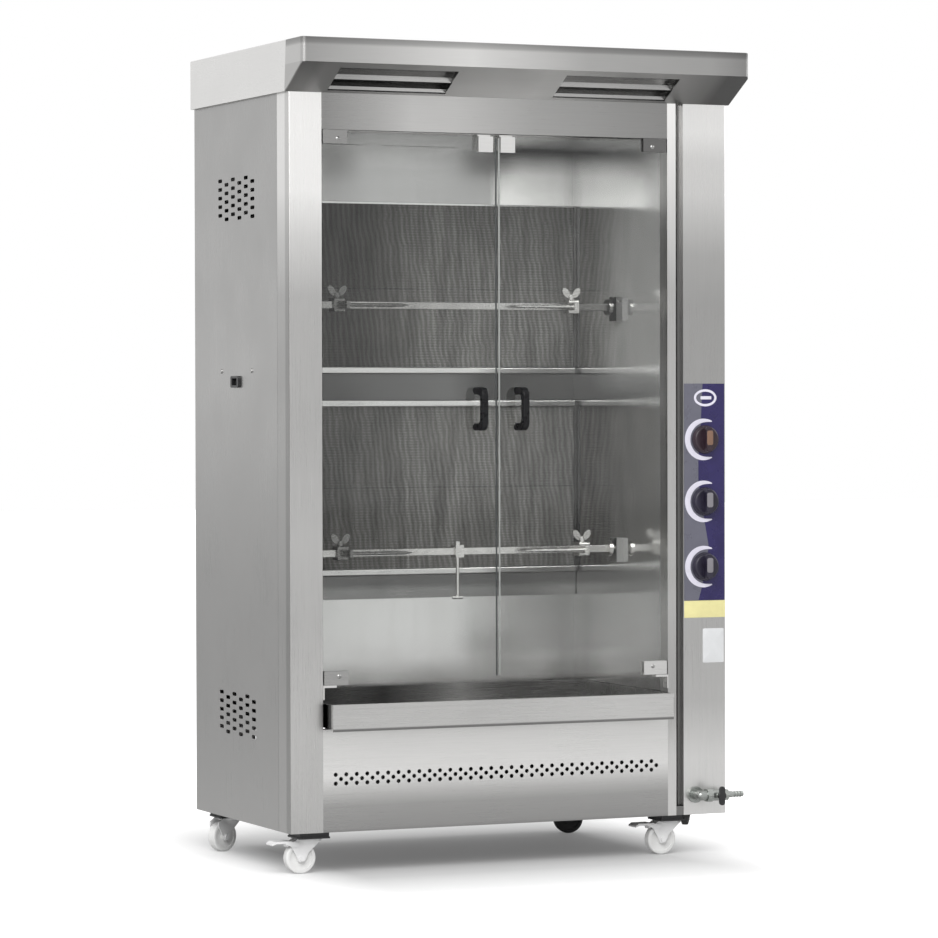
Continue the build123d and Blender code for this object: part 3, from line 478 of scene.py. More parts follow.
def bright_metal(name, colour, roughness, ramps=()):
    """Plated or turned fitting with fine tool marks round it and painted light and shade as slow changes of
    tone along axes.
    """
    finish = Finish(name, colour, 1.0, roughness)
    marks = finish.noise(60, 4, 0.6, (1, 8, 8))
    cloud = finish.noise(30, 3, 0.5)
    cloudy = finish.mottle(cloud, scaled(colour, 0.88), scaled(colour, 1.05))
    finish.colour(finish.toned(cloudy, ramps))
    finish.roughness(finish.remap(marks, roughness - 0.06, roughness + 0.10))
    finish.relief(marks, 0.00004, 0.4, 0.0005)
    return finish.material


def porous_ceramic(name):
    """Pale ceramic darkened by heat, pitted all over with flame ports."""
    finish = Finish(name, (0.16, 0.145, 0.13), 0.0, 0.85)
    cells = finish.node("ShaderNodeTexVoronoi", {"Scale": 260}, feature="F1")
    finish.join(finish.coordinates, cells.inputs["Vector"])
    ports = finish.remap(cells.outputs["Distance"], 0, 1, (0.1, 0.4))
    soot = finish.noise(9, 5, 0.6)
    warm = finish.mottle(soot, (0.07, 0.065, 0.06), (0.20, 0.185, 0.165))
    # Painted shade: the flame ports are coloured near black, as the shade in the holes.
    finish.colour(finish.blend("MIX", ports, (0.02, 0.019, 0.018), warm))
    finish.relief(ports, 0.0006, 0.8)
    return finish.material


def heated_wire(name):
    """Wire cloth: grey oxide with slow upright streaks and finer ripples."""
    tone = tuple(bpy.context.scene.roaster_burner.wire_tone)
    finish = Finish(name, tone, 0.7, 0.5)
    streaks = finish.noise(5, 2, 0.5, (10, 1, 1.1), lean=0.09)
    slow = finish.blend("MIX", finish.remap(streaks, 0, 1, (0.36, 0.64)), scaled(tone, 0.80),
                        scaled(tone, 1.25))
    ripples = finish.remap(finish.ripples(0.014, 5.0, 0.12), 0, 1, (0, 1))
    fine = finish.blend("MIX", ripples, (0.76, 0.76, 0.76), (1.2, 1.2, 1.2))
    colour = finish.blend("MULTIPLY", 1.0, slow, fine)
    # Painted light and shade: the screens darken towards their left and right ends, the upper screen most
    # at its left.
    upper = (("X", ((-0.26, 0.43), (-0.15, 0.46), (-0.08, 0.84), (-0.02, 1.0), (0.25, 0.96),
                    (0.36, 0.82))),)
    lower = (("X", ((-0.26, 0.76), (-0.15, 0.76), (-0.05, 0.90), (0.25, 0.86), (0.36, 0.68))),)
    finish.colour(finish.toned(colour, (("Z", BURNER_SPLIT, 0.01, lower, upper),)))
    finish.roughness(finish.remap(streaks, 0.42, 0.62))
    finish.relief(finish.noise(700, 2), 0.00008, 0.5)
    return finish.material


def clear_pane(name):
    """Toughened glass: what lies behind it shows through, and the face that a ray enters by mirrors
    by the Fresnel law. Faint wiping marks change how sharp the mirror image is."""
    finish = Finish(name, (0.9, 0.95, 0.93), 0.0, 0.03)
    finish.tree.nodes.remove(finish.shader)
    through = finish.node("ShaderNodeBsdfTransparent", {"Color": (0.99, 0.995, 0.992, 1)})
    mirror = finish.node("ShaderNodeBsdfGlossy", {"Color": WHITE})
    finish.join(finish.remap(finish.noise(11, 5, 0.6), 0.015, 0.06), mirror.inputs["Roughness"])
    fresnel = finish.node("ShaderNodeFresnel", {"IOR": 1.5})
    entering = finish.remap(finish.node("ShaderNodeNewGeometry").outputs["Backfacing"], 1, 0, (0, 1))
    mixed = finish.node("ShaderNodeMixShader")
    finish.join(finish.combine("MULTIPLY", fresnel.outputs[0], entering), mixed.inputs[0])
    finish.join(through.outputs[0], mixed.inputs[1])
    finish.join(mirror.outputs[0], mixed.inputs[2])
    finish.join(mixed.outputs[0], finish.output.inputs["Surface"])
    return finish.material


def dress(material, *nodes):
    """Put a finish on CAD nodes."""
    for name in nodes:
        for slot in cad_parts[name].material_slots:
            slot.material = material


def clad(node, name, grain, tone, *ramps, roughness=None):
    """Put brushed steel with its own name, grain and tone on a CAD node, with painted light and shade from
    the ramps.
    """
    dress(brushed_steel(name, grain, tone, ramps, roughness), node)


def even(level):
    """Ramp that holds one level at every height of the object."""
    return ("Z", ((0.0, level), (2.0, level)))


# Pieces


class RoasterOperator(bpy.types.Operator):
    """Shared options of the roaster's operators"""
    bl_options = {"REGISTER", "UNDO"}


class ROASTER_OT_casing(RoasterOperator):
    """Finish the casing's sheets, each with the brushing it shows and light and shade painted into its tone
    """
    bl_idname = "roaster.casing"
    bl_label = "Casing sheets"

    def execute(self, context):
        front = FRONT_Y
        # Painted light and shade: each ramp makes a sheet lighter or darker along one axis, such as the
        # post's side darkened just behind its front edge, the side panel darker towards the top and the
        # lower panel darker at its foot.
        clad("left_corner_post", "steel_corner_post", "Z", 1.0,
             ("Z", ((0.1, 0.75), (0.33, 0.79), (0.6, 0.74), (0.87, 0.78), (1.1, 0.72), (1.36, 0.73),
                    (1.5, 1.02), (1.61, 1.36), (1.84, 1.38))),
             ("Y", ((front, 1.0), (front + 0.0006, 0.60), (front + 0.020, 0.58), (front + 0.028, 0.80),
                    (front + 0.08, 0.80))))
        clad("left_side_panel", "steel_side", "Z", 0.66,
             ("Z", ((0.1, 0.88), (0.65, 0.90), (1.2, 0.95), (1.4, 0.87), (1.84, 0.80))))
        clad("front_header", "steel_header", "X", 0.56,
             ("X", ((-0.48, 0.76), (-0.36, 1.11), (-0.26, 1.48), (-0.15, 1.45), (-0.05, 1.26), (0.06, 1.04),
                    (0.27, 0.86), (0.42, 0.74))))
        clad("lower_front_panel", "steel_lower_panel", "X", 0.88,
             ("Z", ((0.09, 0.36), (0.108, 0.56), (0.16, 0.62), (0.187, 0.84), (0.23, 1.28), (0.27, 1.22),
                    (0.34, 1.1))))
        clad("control_column", "steel_column", "Z", 0.80,
             ("Z", ((0.1, 1.25), (0.24, 1.26), (0.38, 0.94), (0.53, 0.9), (1.1, 0.76), (1.35, 0.72),
                    (1.47, 0.81), (1.62, 1.22), (1.7, 1.25), (1.77, 1.5), (1.84, 1.5))))
        clad("right_front_pillar", "steel_pillar", "Z", 1.0,
             ("Z", ((0.1, 0.95), (0.25, 0.93), (0.36, 0.64), (0.51, 0.70), (0.65, 0.78), (1.0, 0.79),
                    (1.39, 0.74), (1.53, 0.99), (1.68, 1.22), (1.84, 1.48))))
        clad("rear_panel", "steel_back", "Z", 0.8)
        # The base pan is painted dark as shade under the cabinet.
        clad("base_pan", "steel_pan", "X", 0.3)
        finish_canopy()
        # The strip in the groove between pillar and column is dark steel, as painted shade in the groove.
        column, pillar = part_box("control_column"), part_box("right_front_pillar")
        x0, x1 = pillar[1][0], column[0][0]
        z0, z1 = column[0][2], column[1][2]
        strip = soft_plate(((x0 + x1) / 2, front + 0.012, (z0 + z1) / 2), width=0.0215,
                           height=z1 - z0 - 0.004, thickness=0.0015, corner=0.0005, edge=0.0003)
        piece("column_gap_strip", [strip], brushed_steel("steel_gap_strip", "Z", 0.22))
        return {"FINISHED"}


def finish_canopy():
    """Box, visor and louvres; the visor's lip and slant, and a louvre's face and depth, differ in their
    painted light and shade.
    """
    visor_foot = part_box("canopy_visor")[0]
    lip_foot = 1.902
    top_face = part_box("canopy")[1][2] - 0.0004
    # Painted light and shade: the canopy's top face darker, the visor's slant and lip lighter and darker
    # across their width with a dark line along the lip's top edge, and the louvres darker at their ends and
    # in their depth.
    clad("canopy", "steel_canopy", "Y", 1.06, ("Z", top_face, 0.0003, (), (even(0.6),)))
    slant = ("X", ((-0.585, 0.90), (-0.5838, 0.90), (-0.5825, 0.28), (-0.545, 0.37), (-0.52, 0.55),
                   (-0.165, 1.02), (-0.06, 1.24), (0.05, 1.43), (0.45, 0.42), (0.50, 0.30), (0.53, 0.18)))
    lip = ("X", ((-0.585, 1.0), (-0.583, 0.5), (-0.572, 0.60), (-0.36, 0.93), (-0.15, 1.23),
                 (-0.045, 1.08), (0.15, 0.75), (0.48, 0.66), (0.575, 0.48)))
    lip_head = top_face - 0.0002
    shade = ("Z", ((lip_foot, 1.05), (lip_head - 0.018, 1.05), (lip_head - 0.012, 0.7), (lip_head, 0.5)))
    above_slant = ("Z", top_face, 0.0003, (lip, shade), (even(0.9),))
    clad("canopy_visor", "steel_visor", "X", 0.78, ("Z", lip_foot, 0.0005, (slant,), (above_slant,)),
         roughness=0.42)
    run = (0.0, lip_foot - visor_foot[2], FRONT_Y - visor_foot[1])
    inward = tuple(part / math.hypot(*run) for part in run)
    slant_face = inward[1] * visor_foot[1] + inward[2] * lip_foot
    face_depth = 0.0145
    ends = ("X", ((-0.44, 0.6), (-0.3, 0.85), (-0.179, 0.9), (-0.1765, 0.2), (-0.17, 0.2), (-0.16, 0.9),
                  (0.10, 0.75), (0.405, 0.66), (0.4075, 0.2)))
    deep = ("X", ((-0.44, 0.28), (-0.2, 0.40), (0.12, 0.60), (0.42, 0.60)))
    clad("canopy_louvres", "steel_louvre", "X", 0.85,
         (inward, slant_face + face_depth, 0.0005, (ends,), (deep,)), roughness=0.24)


class ROASTER_OT_chamber(RoasterOperator):
    """Finish the chamber, the burners and what the spits run in"""
    bl_idname = "roaster.chamber"
    bl_label = "Chamber"

    def execute(self, context):
        finish_liner()
        dress(polished_wall("walls_polished"), "chamber_side_walls")
        low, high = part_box("burner_boxes")
        guard_top = SCREEN_SPANS[0][0] - 0.002
        # Painted shade: the guard below the lower screen is dark, and the boxes darken towards the right
        # and just behind their front faces.
        guard = (("Z", ((0.62, 0.32), (0.64, 0.32), (0.656, 0.19), (0.678, 0.19))),)
        box = (("X", ((0.13, 0.8), (0.2, 0.45), (0.32, 0.25), (high[0] - 0.009, 0.25),
                      (high[0] - 0.008, 0.10))),
               ("Y", ((low[1] + 0.0105, 1.0), (low[1] + 0.012, 0.06))))
        clad("burner_boxes", "steel_rails", "X", 1.25, ("Z", guard_top, 0.0003, guard, box), roughness=0.2)
        clad("tray_runners", "steel_runners", "Y", 0.3, roughness=0.42)
        clad("door_frame_fittings", "steel_fittings", "X", 1.1, roughness=0.22)
        # Painted shade: the bearings are darker than the steel, the upper ones much darker than the lower.
        clad("spit_end_bearings", "steel_bearings", "X", 1.1,
             ("Z", 1.1, 0.1, (even(0.5),), (even(0.17),)), roughness=0.3)
        # Painted shade on the clamps: the left clamp darker, and the right clamp darkening towards its top.
        left_clamp = (("Z", ((0.5, 0.5), (1.6, 0.42))),)
        clad("left_door_fittings", "steel_left_fittings", "X", 1.1,
             ("X", -0.3, 0.01, left_clamp, ()), roughness=0.3)
        right_clamp = (("Z", ((0.5, 0.9), (1.6, 0.22))),)
        clad("right_door_fittings", "steel_right_fittings", "X", 1.1,
             ("X", 0.25, 0.01, (), right_clamp), roughness=0.3)
        dress(porous_ceramic("ceramic_plaque"), "burner_tiles")
        finish_tray()
        return {"FINISHED"}


def finish_liner():
    """Back and roof panels: the sill and foot, the band between the burners, the top and the roof each
    mirror something else; these reflections and shades are painted into the colour."""
    roof_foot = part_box("chamber_liner")[1][2] - 0.0016
    sill = (("X", ((-0.26, 0.98), (0.24, 0.98), (0.32, 0.90), (0.38, 0.55), (0.42, 0.53))),)
    foot = (("X", ((-0.26, 0.80), (0.0, 0.83), (0.07, 0.83), (0.14, 0.68), (0.20, 0.74), (0.32, 0.47),
                   (0.38, 0.34), (0.42, 0.37))),)
    band = (("X", ((-0.26, 0.105), (0.07, 0.17), (0.16, 0.09), (0.42, 0.10))),)
    top_left = (("X", ((-0.26, 0.50), (-0.09, 0.60), (0.07, 0.57), (0.14, 0.54))),
                ("Z", ((1.639, 0.80), (1.69, 0.88), (1.71, 1.0), (1.752, 1.2))))
    top_right = (("X", ((0.2, 0.97), (0.25, 0.93), (0.32, 0.75), (0.36, 0.65), (0.39, 0.58), (0.42, 0.44))),
                 ("Z", ((1.61, 1.0), (1.69, 0.95), (1.71, 0.78), (1.728, 0.52), (1.741, 0.24),
                        (1.752, 0.07))))
    top = (("X", 0.2, 0.02, top_left, top_right),)
    roof = (("X", ((-0.4, 0.6), (0.1, 0.6), (0.2, 0.02), (0.42, 0.02))),)
    below = (("Z", 0.46, 0.025, sill, foot),)
    above = (("Z", 1.4, 0.01, band, (("Z", roof_foot, 0.0004, top, roof),)),)
    dress(polished_liner("liner_polished", (("Z", 0.9, 0.01, below, above),)), "chamber_liner")


def finish_tray():
    """Drip tray: bright outside, lighter to the right, with painted shade at its foot, and painted shade
    inside.
    """
    _, tray_front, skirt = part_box("drip_tray")[0]
    outside = (("X", ((-0.45, 1.0), (0.0, 1.02), (0.15, 1.12), (0.4, 1.1))),
               ("Z", ((skirt, 0.35), (skirt + 0.0045, 0.35), (skirt + 0.0075, 1.0))))
    inside = (("X", ((-0.45, 0.07), (-0.337, 0.10), (-0.232, 0.26), (-0.127, 0.15), (-0.022, 0.37),
                     (0.083, 0.80), (0.187, 0.50), (0.42, 0.58))),)
    clad("drip_tray", "steel_tray", "X", 0.8,
         ("Y", tray_front + 0.0135, 0.0004, outside, inside), roughness=0.26)


class ROASTER_OT_wire_cloth(RoasterOperator):
    """Weave the screens in front of both burners"""
    bl_idname = "roaster.wire_cloth"
    bl_label = "Wire screens"

    def execute(self, context):
        settings = context.scene.roaster_burner
        low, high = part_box("burner_meshes")
        radius = settings.wire_radius
        pitch = settings.wire_pitch
        front, back = low[1] + radius, high[1] - radius
        shapes = []
        for foot, top in SCREEN_SPANS:
            rise = np.linspace(foot, top, 22)
            for x in np.arange(low[0] + pitch, high[0] - pitch, pitch):
                sway = 0.0011 * np.sin(rise * 46 + x * 31) + 0.0006 * np.sin(rise * 113 - x * 57)
                path = np.stack([x + sway, np.full_like(rise, front), rise], 1)
                shapes.append(swept_round(path, radius))
            for z in np.arange(foot + pitch, top - pitch, pitch * 2):
                run = np.array([low[0] + radius, high[0] - radius])
                path = np.stack([run, np.full_like(run, back), np.full_like(run, z)], 1)
                shapes.append(swept_round(path, radius * 0.8))
        piece("burner_wire_cloth", shapes, heated_wire("wire_heated"), sharp_angle=60,
              stand_for=("burner_meshes",))
        return {"FINISHED"}


class ROASTER_OT_doors(RoasterOperator):
    """Glaze the doors and finish their handles, edge strips and clamp screws"""
    bl_idname = "roaster.doors"
    bl_label = "Glass doors"

    def execute(self, context):
        dress(clear_pane("glass_pane"), "left_door_glass", "right_door_glass")
        black = moulded_black("handle_black", (0.006, 0.006, 0.007), 0.3, 0.2)
        dress(black, "left_door_handle", "right_door_handle")
        seals = {"left": painted("edge_strip_dark", (0.05, 0.055, 0.055), 0.3),
                 "right": painted("edge_strip_pale", (0.30, 0.31, 0.30), 0.3)}
        screw = bright_metal("screw_bright", (0.34, 0.34, 0.335), 0.3)
        clamp_half = 0.0205
        screw_setback = 0.038
        for side, inward in (("left", -1), ("right", 1)):
            low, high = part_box(f"{side}_door_glass")
            meeting, hinged = (high[0], low[0]) if side == "left" else (low[0], high[0])
            middle = (meeting + inward * 0.0025, low[1] - 0.0001, (low[2] + high[2]) / 2)
            strip = soft_plate(middle, width=0.0042, height=high[2] - low[2] - 0.004, thickness=0.0012,
                               corner=0.001, edge=0.0006)
            piece(f"{side}_door_edge_strip", [strip], seals[side], f"{side}_door")
            clamp_low, clamp_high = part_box(f"{side}_door_fittings")
            heads = []
            for z in (clamp_low[2] + clamp_half, clamp_high[2] - clamp_half):
                heads.append(screw_head((hinged - inward * screw_setback, clamp_low[1], z), 0.0052))
            piece(f"{side}_clamp_screws", heads, screw, f"{side}_door")
        return {"FINISHED"}


def screw_head(centre, radius):
    """Domed head that faces the front: a turned profile that falls from the middle as the square of
    the distance, with a small sunken drive in the middle."""
    share = np.linspace(1, 0.34, 6)
    dome = np.stack([radius * share, radius * 0.55 * (1 - 0.75 * share ** 2)], 1)
    drive = [[radius * 0.30, radius * 0.28], [radius * 0.05, radius * 0.26]]
    return turned_shape(centre, (0, -1, 0), np.vstack([[radius, -radius * 0.1], dome, drive]), 18)


class ROASTER_OT_spits(RoasterOperator):
    """Finish the spits with their forks, screws and drive sockets"""
    bl_idname = "roaster.spits"
    bl_label = "Spits"

    def execute(self, context):
        steel = (0.70, 0.69, 0.67)
        # Painted light and shade: each bar gets lighter and darker along its length, and the same steel is
        # drawn darker on the left forks than on the right.
        bar_light_and_shade = {
            "upper": ((-0.365, 0.43), (-0.3, 0.62), (-0.17, 0.55), (-0.045, 0.6), (0.11, 0.75), (0.2, 0.85),
                      (0.24, 0.45), (0.28, 0.25)),
            "lower": ((-0.365, 0.8), (-0.17, 0.8), (-0.13, 1.0), (0.11, 0.95), (0.18, 0.6), (0.27, 0.45),
                      (0.3, 0.85)),
        }
        fork_light_and_shade = {"upper": (("left", 0.22), ("right", 0.8)), "lower": (("left", 0.3), ("right", 0.9))}
        for level, stops in bar_light_and_shade.items():
            dress(bright_metal(f"{level}_bar_steel", steel, 0.2, (("X", stops),)), f"{level}_spit_bar")
            dress(bright_metal(f"{level}_socket_steel", scaled(steel, 0.3), 0.45), f"{level}_drive_socket")
            for side, share in fork_light_and_shade[level]:
                dress(bright_metal(f"{level}_{side}_fork_steel", scaled(steel, share), 0.22),
                      f"{level}_{side}_fork", f"{level}_{side}_wing_screw")
        dress(bright_metal("clamp_steel", steel, 0.2), "spine_clamp")
        dress(painted("motor_grey", (0.05, 0.052, 0.055), 0.5), "spit_gearmotors")
        return {"FINISHED"}


class ROASTER_OT_controls(RoasterOperator):
    """Print the control plate and make the knobs, the band and the blank labels"""
    bl_idname = "roaster.controls"
    bl_label = "Controls"

    def execute(self, context):
        settings = context.scene.roaster_controls
        print_plate(settings)
        stick_labels(settings)
        make_knobs()
        return {"FINISHED"}


def print_plate(settings):
    """Control plate: a navy print with a waved left edge, an arc round each knob and a plain badge."""
    dress(painted("plate_grey", tuple(settings.print_grey), 0.32, 0.05), "control_fascia")
    low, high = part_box("control_fascia")
    film = 0.00015
    face = low[1] - film
    heights = np.linspace(low[2] + 0.0005, high[2] - 0.0005, 90)
    edge = np.interp(heights, [0.625, 0.649, 0.70, 0.76, 0.84, 0.92, 0.97, 1.04, 1.122, 1.157],
                     [0.500, 0.507, 0.520, 0.528, 0.513, 0.500, 0.500, 0.506, 0.5096, 0.512])
    right = np.full_like(heights, high[0] - 0.0006)
    piece("plate_navy_print", [print_patch(edge, right, heights, low[1], film)],
          painted("print_navy", tuple(settings.print_navy), 0.28, 0.12))
    white = painted("print_white", (0.74, 0.72, 0.82), 0.3, 0.03)
    arcs = []
    for node in KNOB_NODES:
        x, _, z = box_middle(node)
        arcs.append(dial_arc(x - 0.003, z, face, settings.ring_radius, settings.ring_width))
    piece("dial_arcs", arcs, white)
    badge_x, badge_z = 0.519, 1.122
    ring = oval_ring((badge_x, face, badge_z), half_width=0.031, half_height=0.021, stroke=0.006)
    bar = soft_plate((badge_x + 0.002, face, badge_z), width=0.030, height=0.008, thickness=0.0003,
                     corner=0.002, edge=0.0001)
    piece("blank_badge", [ring, bar], white)


def stick_labels(settings):
    """Yellow band and blank label on the column, below the control plate."""
    column_low, column_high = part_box("control_column")
    band_x = (column_low[0] + column_high[0]) / 2 + 0.0005
    band = soft_plate((band_x, FRONT_Y, 0.604), width=0.113, height=0.042, thickness=0.0004,
                      corner=0.001, edge=0.0002)
    yellow = painted("band_yellow", tuple(settings.band_yellow), 0.35, 0.05)
    piece("yellow_band", [band], yellow)
    paper = painted("label_paper", (0.70, 0.71, 0.72), 0.4, 0.04)
    label = soft_plate((0.541, FRONT_Y, 0.514), width=0.058, height=0.084, thickness=0.0003,
                       corner=0.003, edge=0.0001)
    piece("blank_label", [label], paper)


def make_knobs():
    """Moulded knobs in place of the CAD knobs, each with a coloured insert in its grip."""
    black = moulded_black("knob_black", (0.010, 0.008, 0.020))
    brown = moulded_black("knob_brown", (0.020, 0.009, 0.015))
    silver = painted("knob_insert_silver", (0.22, 0.21, 0.23), 0.35)
    amber = painted("knob_insert_amber", (0.21, 0.12, 0.08), 0.35)
    thickness = 0.0014
    for node in KNOB_NODES:
        moulded, filled = (brown, amber) if node == "drive_knob" else (black, silver)
        piece(f"{node}_moulded", knob_shapes(node), moulded, node, 50, (node,))
        x, _, z = box_middle(node)
        insert = soft_plate((x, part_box(node)[0][1] + thickness, z + 0.004), width=0.0165, height=0.036,
                            thickness=thickness, corner=0.005, edge=0.0008)
        piece(f"{node}_insert", [insert], filled, node)


def box_middle(node):
    """Middle of a CAD node's box."""
    low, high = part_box(node)
    return [(a + b) / 2 for a, b in zip(low, high)]


def dial_arc(x, z, front, radius, width):
    """White arc round a knob, open on the right: width times sin of the way along it, to the power
    0.45, so that it thins out towards both ends."""
    turn = np.radians(np.linspace(62, 298, 60))
    share = np.linspace(0, 1, 60)
    inner = radius - width * np.maximum(np.sin(np.pi * share), 0.02) ** 0.45
    outer = np.full_like(inner, radius)
    raised = front - 0.0002
    ring = []
    for r, y in ((outer, front), (outer, raised), (inner, raised), (inner, front)):
        ring.append(np.stack([x + r * np.cos(turn), np.full_like(turn, y), z + r * np.sin(turn)], 1))
    return closed_tube(np.stack(ring, 1))


def oval_ring(centre, half_width, half_height, stroke):
    """Flat oval ring: points (a cos t, b sin t), once at full size and once drawn in by the stroke."""
    turn = np.linspace(0, 2 * np.pi, 60, endpoint=False)
    ring = []
    for inset, rise in ((0, 0), (0, 0.0003), (stroke, 0.0003), (stroke, 0)):
        ring.append(np.stack([centre[0] + (half_width - inset) * np.cos(turn),
                              np.full_like(turn, centre[1] - rise),
                              centre[2] + (half_height - inset) * np.sin(turn)], 1))
    return sheet(np.array(ring + ring[:1]), wrap=True)


def knob_shapes(node):
    """Knob: a turned skirt with a rounded rim and shallow dished face, and a grip across it whose
    section is a superellipse that narrows towards its top; a stem runs behind it."""
    low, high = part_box(node)
    x, _, z = box_middle(node)
    radius = (high[0] - low[0]) / 2
    back = FRONT_Y - 0.002
    face = back - 0.014
    profile = [(0.006, 0.0), (radius - 0.001, 0.0), (radius, 0.001), (radius - 0.0012, 0.006),
               (radius - 0.0028, 0.0115), (radius - 0.0042, 0.0134), (radius - 0.0065, 0.014),
               (radius - 0.009, 0.0136), (0.012, 0.0125), (0.003, 0.0125)]
    skirt = turned_shape((x, back, z), (0, -1, 0), profile, 64)
    top = low[1] + 0.0008
    turn = np.linspace(0, 2 * np.pi, 48, endpoint=False)
    across, upright = (np.sign(wave) * np.abs(wave) ** (2 / 4.5) for wave in (np.cos(turn), np.sin(turn)))
    rows = []
    for share in np.linspace(0, 1, 10):
        y = face + 0.002 + (top - face - 0.002) * share
        half_x = 0.0108 * (1 - 0.10 * share - 0.06 * share ** 12)
        half_z = (radius - 0.0045) * (1 - 0.05 * share - 0.03 * share ** 12)
        rows.append(np.stack([x + half_x * across, np.full_like(turn, y), z + half_z * upright], 1))
    grip = closed_tube(np.array(rows))
    stem = turned_shape((x, high[1], z), (0, -1, 0), [(0.005, 0.0), (0.005, high[1] - back + 0.001)], 20)
    return [skirt, grip, stem]


class ROASTER_OT_gas(RoasterOperator):
    """Finish the gas fittings, the switch and the power inlet, and add the nozzle's barbs"""
    bl_idname = "roaster.gas"
    bl_label = "Gas inlet"

    def execute(self, context):
        plated = bright_metal("fitting_plated", (0.36, 0.375, 0.36), 0.28)
        dress(plated, "gas_inlet_valve")
        dress(bright_metal("pipe_brass", (0.60, 0.44, 0.20), 0.3), "gas_manifold")
        dress(moulded_black("switch_black"), "drive_switch", "power_inlet")
        dress(moulded_black("lever_black", roughness=0.42), "gas_cock_lever")
        nozzle_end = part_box("gas_inlet_valve")[1][0]
        y, z = FRONT_Y - 0.032, box_middle("gas_inlet_valve")[2]
        barb = [(0.0063, 0.0), (0.0078, 0.0006), (0.0079, 0.0014), (0.0063, 0.0068)]
        barbs = []
        for setback in (0.0245, 0.0165, 0.0085):
            barbs.append(turned_shape((nozzle_end - setback, y, z), (1, 0, 0), barb, 28))
        piece("nozzle_barbs", barbs, plated)
        return {"FINISHED"}


class ROASTER_OT_casters(RoasterOperator):
    """Finish the casters and add the rubber buffer under the control column"""
    bl_idname = "roaster.casters"
    bl_label = "Casters"

    def execute(self, context):
        zinc = painted("caster_white", (0.87, 0.87, 0.87), 0.36, 0.05)
        nylon = painted("wheel_nylon", (0.86, 0.86, 0.85), 0.42, 0.05)
        # The caster top plates are painted near black as shade under the cabinet.
        dress(painted("top_plate_painted_shade", (0.03, 0.03, 0.032), 0.5), "caster_top_plates")
        # The rear-right caster is painted black, fork and wheel, as shade under the cabinet; the same black
        # rubber finish goes on the buffer.
        shaded_fork = painted("caster_painted_shade", (0.035, 0.035, 0.037), 0.5)
        rubber_and_shade = moulded_black("wheel_shade_and_buffer_rubber", (0.02, 0.02, 0.02), 0.6)
        for name in CASTERS:
            fork, wheel = (shaded_fork, rubber_and_shade) if name == "rear_right" else (zinc, nylon)
            dress(fork, f"{name}_caster_fork")
            dress(wheel, f"{name}_caster_wheel")
        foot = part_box("control_column")[0][2]
        buffer = turned_shape((0.478, FRONT_Y + 0.03, foot + 0.001), (0, 0, -1),
                              [(0.013, 0.0), (0.0135, 0.004), (0.0085, 0.026), (0.007, 0.028)], 28)
        piece("column_buffer", [buffer], rubber_and_shade)
        dress(zinc, "front_left_brake_pedal", "front_right_brake_pedal")
        return {"FINISHED"}


# Studio


class ROASTER_OT_stage(RoasterOperator):
    """Lay the pale floor, set the soft lamps and place the camera"""
    bl_idname = "roaster.stage"
    bl_label = "Studio"

    def execute(self, context):
        settings = context.scene.roaster_stage
        studio_floor(settings)
        room_light(settings)
        soft_lamp("key_lamp", (-3.2, -4.6, 4.6), (0, 0, 1.0), 4.0, settings.key_power)
        soft_lamp("fill_lamp", (5.4, -0.6, 3.6), (0, 0, 1.0), 3.2, settings.fill_power)
        context.scene.camera = photo_camera(settings.lens)
        context.scene.view_settings.view_transform = "Standard"
        return {"FINISHED"}


def studio_floor(settings):
    """Wide pale floor. The camera sees it with a share of its own light, so that it is white beyond
    the object's shadow."""
    size = 30.0
    cabinet_half = (0.42, 0.36, 0)
    distance_scale = (1, 0.45, 0)
    shade, shade_reach, lift_reach = 0.62, 0.35, 0.6
    corners = np.array([[[-size, -size, 0], [size, -size, 0]], [[-size, size, 0], [size, size, 0]]], float)
    mesh = bpy.data.meshes.new("studio_floor")
    vertices, quads, _ = sheet(corners)
    mesh.from_pydata(vertices.tolist(), [], quads.tolist())
    tone = tuple(settings.floor_tone)
    finish = Finish("floor_pale", tone, 0.0, 0.9)
    grain = finish.noise(6, 3)
    beyond = finish.coordinates
    for operation, values in (("ABSOLUTE", {}), ("SUBTRACT", {1: cabinet_half}),
                              ("MAXIMUM", {1: (0, 0, 0)}), ("MULTIPLY", {1: distance_scale})):
        step = finish.node("ShaderNodeVectorMath", values, operation=operation)
        finish.join(beyond, step.inputs[0])
        beyond = step.outputs[0]
    away = finish.node("ShaderNodeVectorMath", operation="LENGTH")
    finish.join(beyond, away.inputs[0])
    plain = finish.mottle(grain, scaled(tone, 0.99), tone)
    # Painted shadow: near the cabinet the floor's colour falls to a share of its tone, reaching farther in
    # front of and behind it than to the sides.
    near_share = finish.remap(away.outputs["Value"], 0, 1, (0.0, shade_reach))
    finish.colour(finish.blend("MIX", near_share, scaled(tone, shade), plain))
    rise = finish.remap(away.outputs["Value"], settings.floor_lift, 1.0, (0.0, lift_reach))
    seen = finish.node("ShaderNodeLightPath").outputs["Is Camera Ray"]
    finish.shader.inputs["Emission Color"].default_value = WHITE
    finish.join(finish.combine("MULTIPLY", seen, rise), finish.shader.inputs["Emission Strength"])
    mesh.materials.append(finish.material)
    return new_object("studio_floor", mesh)


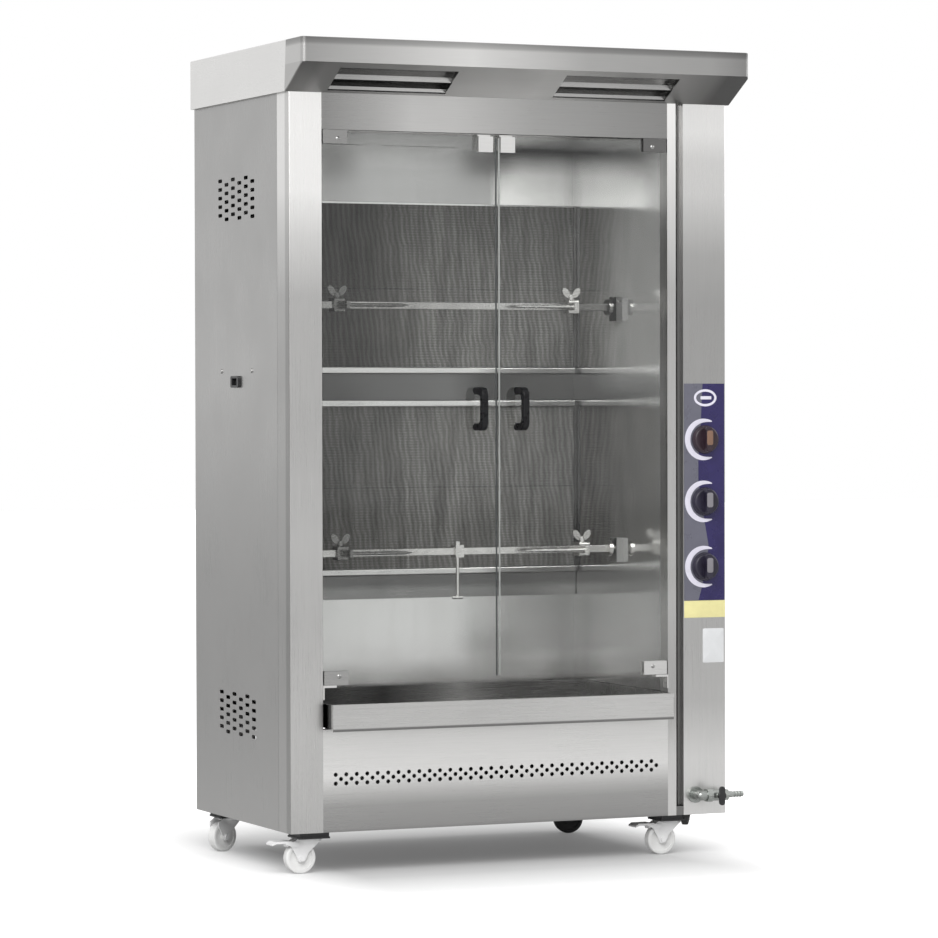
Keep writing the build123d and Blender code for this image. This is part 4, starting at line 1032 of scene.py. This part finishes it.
def room_light(settings):
    """Even room light; the camera, mirrors and glass see it as white."""
    world = bpy.data.worlds.new("studio_room")
    bpy.context.scene.world = world
    world.use_nodes = True
    tree = world.node_tree
    tree.nodes.clear()
    output = tree.nodes.new("ShaderNodeOutputWorld")
    path = tree.nodes.new("ShaderNodeLightPath")
    mix = tree.nodes.new("ShaderNodeMixShader")
    for slot, level in ((1, settings.world_level), (2, 1.0)):
        light = tree.nodes.new("ShaderNodeBackground")
        light.inputs["Color"].default_value = WHITE
        light.inputs["Strength"].default_value = level
        tree.links.new(light.outputs[0], mix.inputs[slot])
    share = path.outputs["Is Camera Ray"]
    for ray in ("Is Glossy Ray", "Is Transmission Ray"):
        either = tree.nodes.new("ShaderNodeMath")
        either.operation = "MAXIMUM"
        tree.links.new(share, either.inputs[0])
        tree.links.new(path.outputs[ray], either.inputs[1])
        share = either.outputs[0]
    tree.links.new(share, mix.inputs[0])
    tree.links.new(mix.outputs[0], output.inputs["Surface"])


def photo_camera(lens):
    """Camera where the photo's camera stood, to the object's left and a little tilted."""
    camera = bpy.data.cameras.new("photo_camera")
    camera.lens = lens
    camera.sensor_width = 36
    camera.clip_end = 100
    holder = new_object("photo_camera", camera)
    holder.location = (-3.951, -8.881, 1.111)
    azimuth, pitch, roll = math.radians(24.0), math.radians(-0.96), math.radians(-0.125)
    gaze = Vector((math.sin(azimuth) * math.cos(pitch), math.cos(azimuth) * math.cos(pitch),
                   math.sin(pitch)))
    aim = gaze.to_track_quat("-Z", "Y").to_matrix() @ Matrix.Rotation(roll, 3, "Z")
    holder.rotation_euler = aim.to_euler()
    return holder


def soft_lamp(name, place, target, size, power):
    """Square soft lamp that faces a point."""
    lamp = bpy.data.lights.new(name, "AREA")
    lamp.shape = "SQUARE"
    lamp.size = size
    lamp.energy = power
    holder = new_object(name, lamp)
    holder.location = place
    holder.rotation_euler = (Vector(target) - Vector(place)).to_track_quat("-Z", "Y").to_euler()


# Add-on


PIECE_OPERATORS = (
    ROASTER_OT_casing, ROASTER_OT_chamber, ROASTER_OT_wire_cloth, ROASTER_OT_doors, ROASTER_OT_spits,
    ROASTER_OT_controls, ROASTER_OT_gas, ROASTER_OT_casters, ROASTER_OT_stage,
)
SETTINGS = {
    "roaster_steel": SteelSettings, "roaster_burner": BurnerSettings,
    "roaster_controls": ControlSettings, "roaster_stage": StageSettings,
}


class ROASTER_PT_panel(bpy.types.Panel):
    """Sizes, colours and build buttons of the roaster"""
    bl_idname = "ROASTER_PT_panel"
    bl_label = "Roaster"
    bl_space_type = "VIEW_3D"
    bl_region_type = "UI"
    bl_category = "Roaster"

    def draw(self, context):
        for name, group in SETTINGS.items():
            box = self.layout.box()
            for prop in group.__annotations__:
                box.prop(getattr(context.scene, name), prop)
        for operator in PIECE_OPERATORS:
            self.layout.operator(operator.bl_idname)


def register():
    for group in SETTINGS.values():
        bpy.utils.register_class(group)
    for name, group in SETTINGS.items():
        setattr(bpy.types.Scene, name, bpy.props.PointerProperty(type=group))
    for operator in PIECE_OPERATORS:
        bpy.utils.register_class(operator)
    bpy.utils.register_class(ROASTER_PT_panel)


def unregister():
    bpy.utils.unregister_class(ROASTER_PT_panel)
    for operator in reversed(PIECE_OPERATORS):
        bpy.utils.unregister_class(operator)
    for name, group in SETTINGS.items():
        delattr(bpy.types.Scene, name)
        bpy.utils.unregister_class(group)


def main():
    register()
    for operator in PIECE_OPERATORS:
        group, name = operator.bl_idname.split(".")
        getattr(getattr(bpy.ops, group), name)()


if __name__ == "__main__":
    main()
